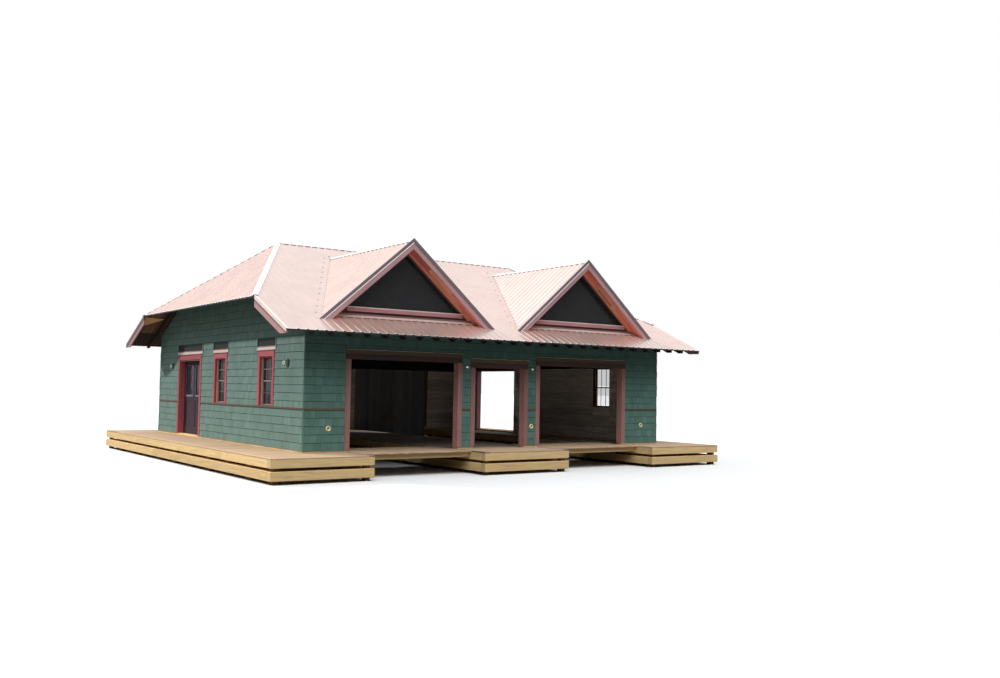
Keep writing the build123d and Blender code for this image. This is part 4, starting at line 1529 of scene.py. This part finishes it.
def rake_outline(x, sy, top, low):
    """A band below the roof's slope between two depths, from the clipped gable down to the level cut."""
    def y_at(drop):
        return min((roof.ridge_z - drop - roof.tail_z) / roof.slope, roof.y)

    low_y, top_y = y_at(low), y_at(top)
    corners = [(roof.clip_y, roof.main_z(roof.clip_y) - low), (low_y, roof.main_z(low_y) - low)]
    corners.append((top_y, max(roof.tail_z, roof.main_z(top_y) - low)))
    corners += [(top_y, roof.main_z(top_y) - top), (roof.clip_y, roof.main_z(roof.clip_y) - top)]
    kept = corners[:1]
    for before, corner in zip(corners, corners[1:]):
        if math.dist(before, corner) > 1e-5:
            kept.append(corner)
    return [(x, sy * y, z) for y, z in kept]


def rake_soffits():
    """Boards under the roof's overhang at both ends, with a plywood triangle at each clipped corner."""
    stack = Stack()
    inner = wall_x + SHINGLE_BUTT
    outer = roof.x - 0.040
    step = (outer - inner) / RAKE_SOFFIT_BOARDS

    def under_slope(sx, sy, plan, drop):
        return [(sx * x, sy * y, roof.main_z(y) - roof.build - drop) for x, y in plan]

    for sx, sy in CORNERS:
        for i in range(RAKE_SOFFIT_BOARDS):
            x0, x1 = inner + step * i, inner + step * (i + 1) - 0.003
            plan = [(x0, roof.hip_y(x0)), (x1, roof.hip_y(x1)), (x1, wall_y), (x0, wall_y)]
            stack.prism(under_slope(sx, sy, plan, 0.012), (0, 0, 0.011), (0, -sy, roof.slope))
        y = roof.clip_y
        plan = [(outer, y), (outer, y + PLYWOOD_SIDE), (outer - PLYWOOD_SIDE, y + PLYWOOD_SIDE * 0.1)]
        stack.prism(under_slope(sx, sy, plan, 0.022), (0, 0, 0.009), (0, 1, 0), 1.0, 1)
    stack.object("rake_soffit_boards", [soffit_brown, plywood])


def other_nodes():
    """Materials of the nodes that show as they are, the panes, and the boards of the dormer sills."""
    for node, material in (
        ("rafters", frame_wood_painted_shade),
        ("ridge_beam", frame_wood_painted_shade),
        ("dormer_gables", gable_brown),
        ("leaf_near", door_wood),
        ("leaf_far", door_wood),
        ("door_hinges", hinge_steel),
        ("leaf_near_glass", pane_glass),
        ("leaf_far_glass", pane_glass),
    ):
        paint(node, material)
    panes = [pane_glass, gable_glass]
    dressed("glass_panes", lambda polygon: int(in_gable(polygon.center.x)), panes)
    stack = Stack()
    for low, high in islands("dormer_sills"):
        edge = low.z + (high.z - low.z) * 0.8
        stack.board(low, (high.x, high.y, edge))
        stack.board((low.x, low.y, edge), high, slot=1)
    woods = [sill_mauve, flashing_metal]
    stack.object("dormer_sill_boards", woods, replaces=("dormer_sills",))


def boat_doors():
    """Boarded leaves with ledges between their inner and outer boards."""
    stack = Stack()
    for low, high in islands("boat_doors"):
        outer, inner = high.y - 0.024, low.y + 0.018
        count = round((high.x - low.x) / BOAT_DOOR_BOARD)
        step = (high.x - low.x) / count
        for i in range(count):
            x0, x1 = low.x + step * i + 0.001, low.x + step * (i + 1) - 0.001
            for y0, y1 in ((outer, high.y), (low.y, inner)):
                stack.board((x0, y0, low.z), (x1, y1, high.z), 0.004, (0, 0, 1))
        for z in (low.z + 0.1, (low.z + high.z) / 2, high.z - 0.24):
            stack.board((low.x, inner, z), (high.x, outer, z + BOAT_DOOR_LEDGE))
    stack.object("boat_door_boards", boat_door_wood, replaces=("boat_doors",))


def door_beads():
    """Glazing beads round the pane of each side door leaf, on both faces. The lower bead is a deep one."""
    for leaf, body in (("leaf_near", "near_leaf"), ("leaf_far", "far_leaf")):
        stack = Stack()
        pane_low, pane_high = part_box(leaf + "_glass")
        (y0, z0), (y1, z1) = pane_low[1:], pane_high[1:]
        low_x, high_x = (corner[0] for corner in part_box(leaf))
        bead = 0.016
        for x0, x1 in ((low_x, low_x + 0.010), (high_x - 0.010, high_x)):
            stack.board((x0, y0, z0), (x1, y0 + bead, z1), 0.002)
            stack.board((x0, y1 - bead, z0), (x1, y1, z1), 0.002)
            stack.board((x0, y0 + bead, z0), (x1, y1 - bead, z0 + bead * 3.2), 0.002)
            stack.board((x0, y0 + bead, z1 - bead), (x1, y1 - bead, z1), 0.002)
        stack.object(leaf + "_beads", door_bead, body)


# Small fittings

def lathe(stack, centre, out, profile, segments=28, slots=None):
    """Turns a profile of (radius, height) points about an axis. slots gives each of its bands a material."""
    centre, out = Vector(centre), Vector(out)
    side = out.orthogonal().normalized()
    other = out.cross(side)
    points = []
    for radius, height in profile:
        for i in range(segments):
            angle = 2 * math.pi * i / segments
            spoke = side * math.cos(angle) + other * math.sin(angle)
            points.append(centre + spoke * radius + out * height)
    for band in range(len(profile) - 1):
        slot = slots[band] if slots else 0
        for i in range(segments):
            a, b = band * segments + i, band * segments + (i + 1) % segments
            corners = [points[index] for index in (a, b, b + segments, a + segments)]
            stack.solid(corners, [(0, 1, 2, 3)], out, 0.5, slot)


def lamp_heads():
    """Turned lamps: round boxes on the long walls, leaning heads on the end walls."""
    stack = Stack()
    for low, high in islands("lamp_boxes"):
        centre = (low + high) / 2
        size = high - low
        axis = min(range(3), key=lambda index: size[index])
        out = Vector((0, 0, 0))
        out[axis] = 1 if centre[axis] > 0 else -1
        foot = centre.copy()
        foot[axis] = low[axis] if centre[axis] > 0 else high[axis]
        radius, depth = max(size) / 2, size[axis]
        if axis == 1:
            shares = ((1, 0), (1, 0.55), (0.9, 0.85), (0.55, 1))
            turned = [(radius * LAMP_BOX_SHARE * r, depth * h) for r, h in shares]
            lathe(stack, foot, out, turned + [(LAMP_CENTRE, depth)], slots=[2, 2, 2, 2])
            continue
        lean = Vector((out.x, -0.3, 0)).normalized()
        back = foot + out * depth * 0.5 - lean * depth * 0.25
        shares = ((0.6, 0), (0.9, 0.2), (1, 0.35), (0.94, 0.45), (0.4, 0.45), (0.36, 0.3))
        turned = [(LAMP_CENTRE, 0)] + [(radius * r, depth * h) for r, h in shares]
        lathe(stack, back, lean, turned + [(LAMP_CENTRE, depth * 0.28)], slots=[0, 0, 0, 0, 0, 1, 1])
    paints = [lamp_cream, lamp_grey, lamp_white]
    stack.object("lamp_box_rings", paints, replaces=("lamp_boxes",))


def turned_rings():
    """The ring covers on the front wall, open in the middle."""
    stack = Stack()
    for low, high in islands("cover_rings"):
        centre = (low + high) / 2
        radius = (high.x - low.x) / 2
        bore = radius * 0.42
        depth = high.y - low.y
        outside = [(radius * r, depth * h) for r, h in ((1, 0), (1, 0.3), (0.93, 0.62), (0.8, 1), (0.64, 1))]
        inside = [(bore * 1.08, depth * 0.7), (bore, depth * 0.4), (bore, 0)]
        lathe(stack, (centre.x, high.y, centre.z), (0, -1, 0), outside + inside, 32)
    stack.object("cover_ring_turnings", ring_brass, replaces=("cover_rings",))


def lamp_mounts():
    """The oval green block beside each end wall lamp."""
    stack = Stack()
    segments = 24
    for low, high in islands("lamp_boxes"):
        if not on_end_wall(low, high):
            continue
        sign = -1 if low.x < 0 else 1
        centre = (low + high) / 2
        rings = []
        for x in (wall_x, wall_x + SHINGLE_BUTT + 0.012):
            middle = Vector((sign * x, centre.y - MOUNT_SIDEWAYS, centre.z - 0.01))
            for i in range(segments):
                angle = 2 * math.pi * i / segments
                rings.append(middle + Vector((0, 0.07 * math.cos(angle), 0.105 * math.sin(angle))))
        faces = [tuple(range(segments))[::-1], tuple(range(segments, 2 * segments))]
        for i in range(segments):
            after = (i + 1) % segments
            faces.append((i, after, after + segments, i + segments))
        if sign < 0:
            faces = [face[::-1] for face in faces]
        stack.solid(rings, faces, (0, 0, 1), 0.2)
    stack.object("lamp_mounts", door_green)


# The stage

def make_camera():
    """The photograph's viewpoint: where it stands, and how far it is turned, lifted and rolled."""
    data = bpy.data.cameras.new("camera")
    camera = bpy.data.objects.new("camera", data)
    bpy.context.scene.collection.objects.link(camera)
    data.sensor_width = 36.0
    data.lens = FOCAL_PIXELS * data.sensor_width / IMAGE_WIDTH
    data.clip_end = 900.0
    turn = Matrix.Rotation(math.radians(CAMERA_TURN), 4, "Z")
    lift = Matrix.Rotation(math.radians(90 + CAMERA_LIFT), 4, "X")
    roll = Matrix.Rotation(math.radians(CAMERA_ROLL), 4, "Z")
    camera.matrix_world = Matrix.Translation(CAMERA_PLACE) @ turn @ lift @ roll
    bpy.context.scene.camera = camera


def make_world(low, high):
    """White to the camera and in reflections, and a plain soft sky, stronger overhead, for the rest."""
    world = bpy.data.worlds.new("sky")
    bpy.context.scene.world = world
    world.use_nodes = True
    world.node_tree.nodes.clear()
    sky = Wiring(world.node_tree)
    path = sky.add("LightPath").outputs
    seen = path["Is Camera Ray"]
    for kind in ("Is Glossy Ray", "Is Transmission Ray"):
        either = sky.add("Math", operation="MAXIMUM")
        sky.link(seen, either.inputs[0])
        sky.link(path[kind], either.inputs[1])
        seen = either.outputs[0]
    parts = sky.add("SeparateXYZ")
    sky.link(sky.add("TexCoord").outputs["Generated"], parts.inputs[0])
    rise = sky.add("MapRange", interpolation_type="SMOOTHSTEP")
    for key, value in (("From Min", 0.15), ("From Max", 0.85), ("To Min", low), ("To Max", high)):
        rise.inputs[key].default_value = value
    sky.link(parts.outputs["Z"], rise.inputs["Value"])
    soft = sky.add("Background")
    soft.inputs["Color"].default_value = (0.96, 0.98, 1.0, 1)
    sky.link(rise.outputs["Result"], soft.inputs["Strength"])
    white = sky.add("Background")
    white.inputs["Color"].default_value = (1, 1, 1, 1)
    white.inputs["Strength"].default_value = 1.0
    sky.finish("World", seen, soft, white)


def make_sun(name, strength, direction, angle, colour):
    data = bpy.data.lights.new(name, "SUN")
    data.energy = strength
    data.angle = math.radians(angle)
    data.color = colour
    sun = bpy.data.objects.new(name, data)
    sun.rotation_euler = Vector(direction).to_track_quat("-Z", "Y").to_euler()
    bpy.context.scene.collection.objects.link(sun)


def make_floor():
    """A pale floor that is white where nothing shades it and gives little light back."""
    mesh = bpy.data.meshes.new("floor")
    signs = ((-1, -1), (1, -1), (1, 1), (-1, 1))
    mesh.from_pydata([(x * FLOOR_REACH, y * FLOOR_REACH, -0.001) for x, y in signs], [], [(0, 1, 2, 3)])
    floor = bpy.data.objects.new("floor", mesh)
    bpy.context.scene.collection.objects.link(floor)
    material = bpy.data.materials.new("floor")
    material.use_nodes = True
    material.node_tree.nodes.clear()
    floor_nodes = Wiring(material.node_tree)
    path = floor_nodes.add("LightPath").outputs
    seen, dull = floor_nodes.add("BsdfDiffuse"), floor_nodes.add("BsdfDiffuse")
    seen.inputs["Color"].default_value = (0.86, 0.86, 0.86, 1)
    dull.inputs["Color"].default_value = (0.17, 0.165, 0.155, 1)
    floor_nodes.finish("Material", path["Is Camera Ray"], dull, seen)
    mesh.materials.append(material)


make_camera()
make_world(SKY_LOW, SKY_HIGH)
make_sun("sun", 2.8, (1.0, -1.54, -1.08), 2.0, (1.0, 0.96, 0.91))
make_sun("soft_fill", 1.5, (0.20, 0.52, -0.83), 45.0, (0.97, 0.99, 1.0))
make_floor()
bpy.context.scene.view_settings.view_transform = "Standard"

timbers()
deck_boards()
wall_slabs()
shingle_walls()
corner_edges()
patch_edges()
inner_boards()
trim()
window_parts()
roof_skins()
caps()
valley_flashings()
dormer_trim()
gable_frames()
rake_trim()
rake_soffits()
boat_doors()
door_beads()
lamp_heads()
turned_rings()
lamp_mounts()
other_nodes()
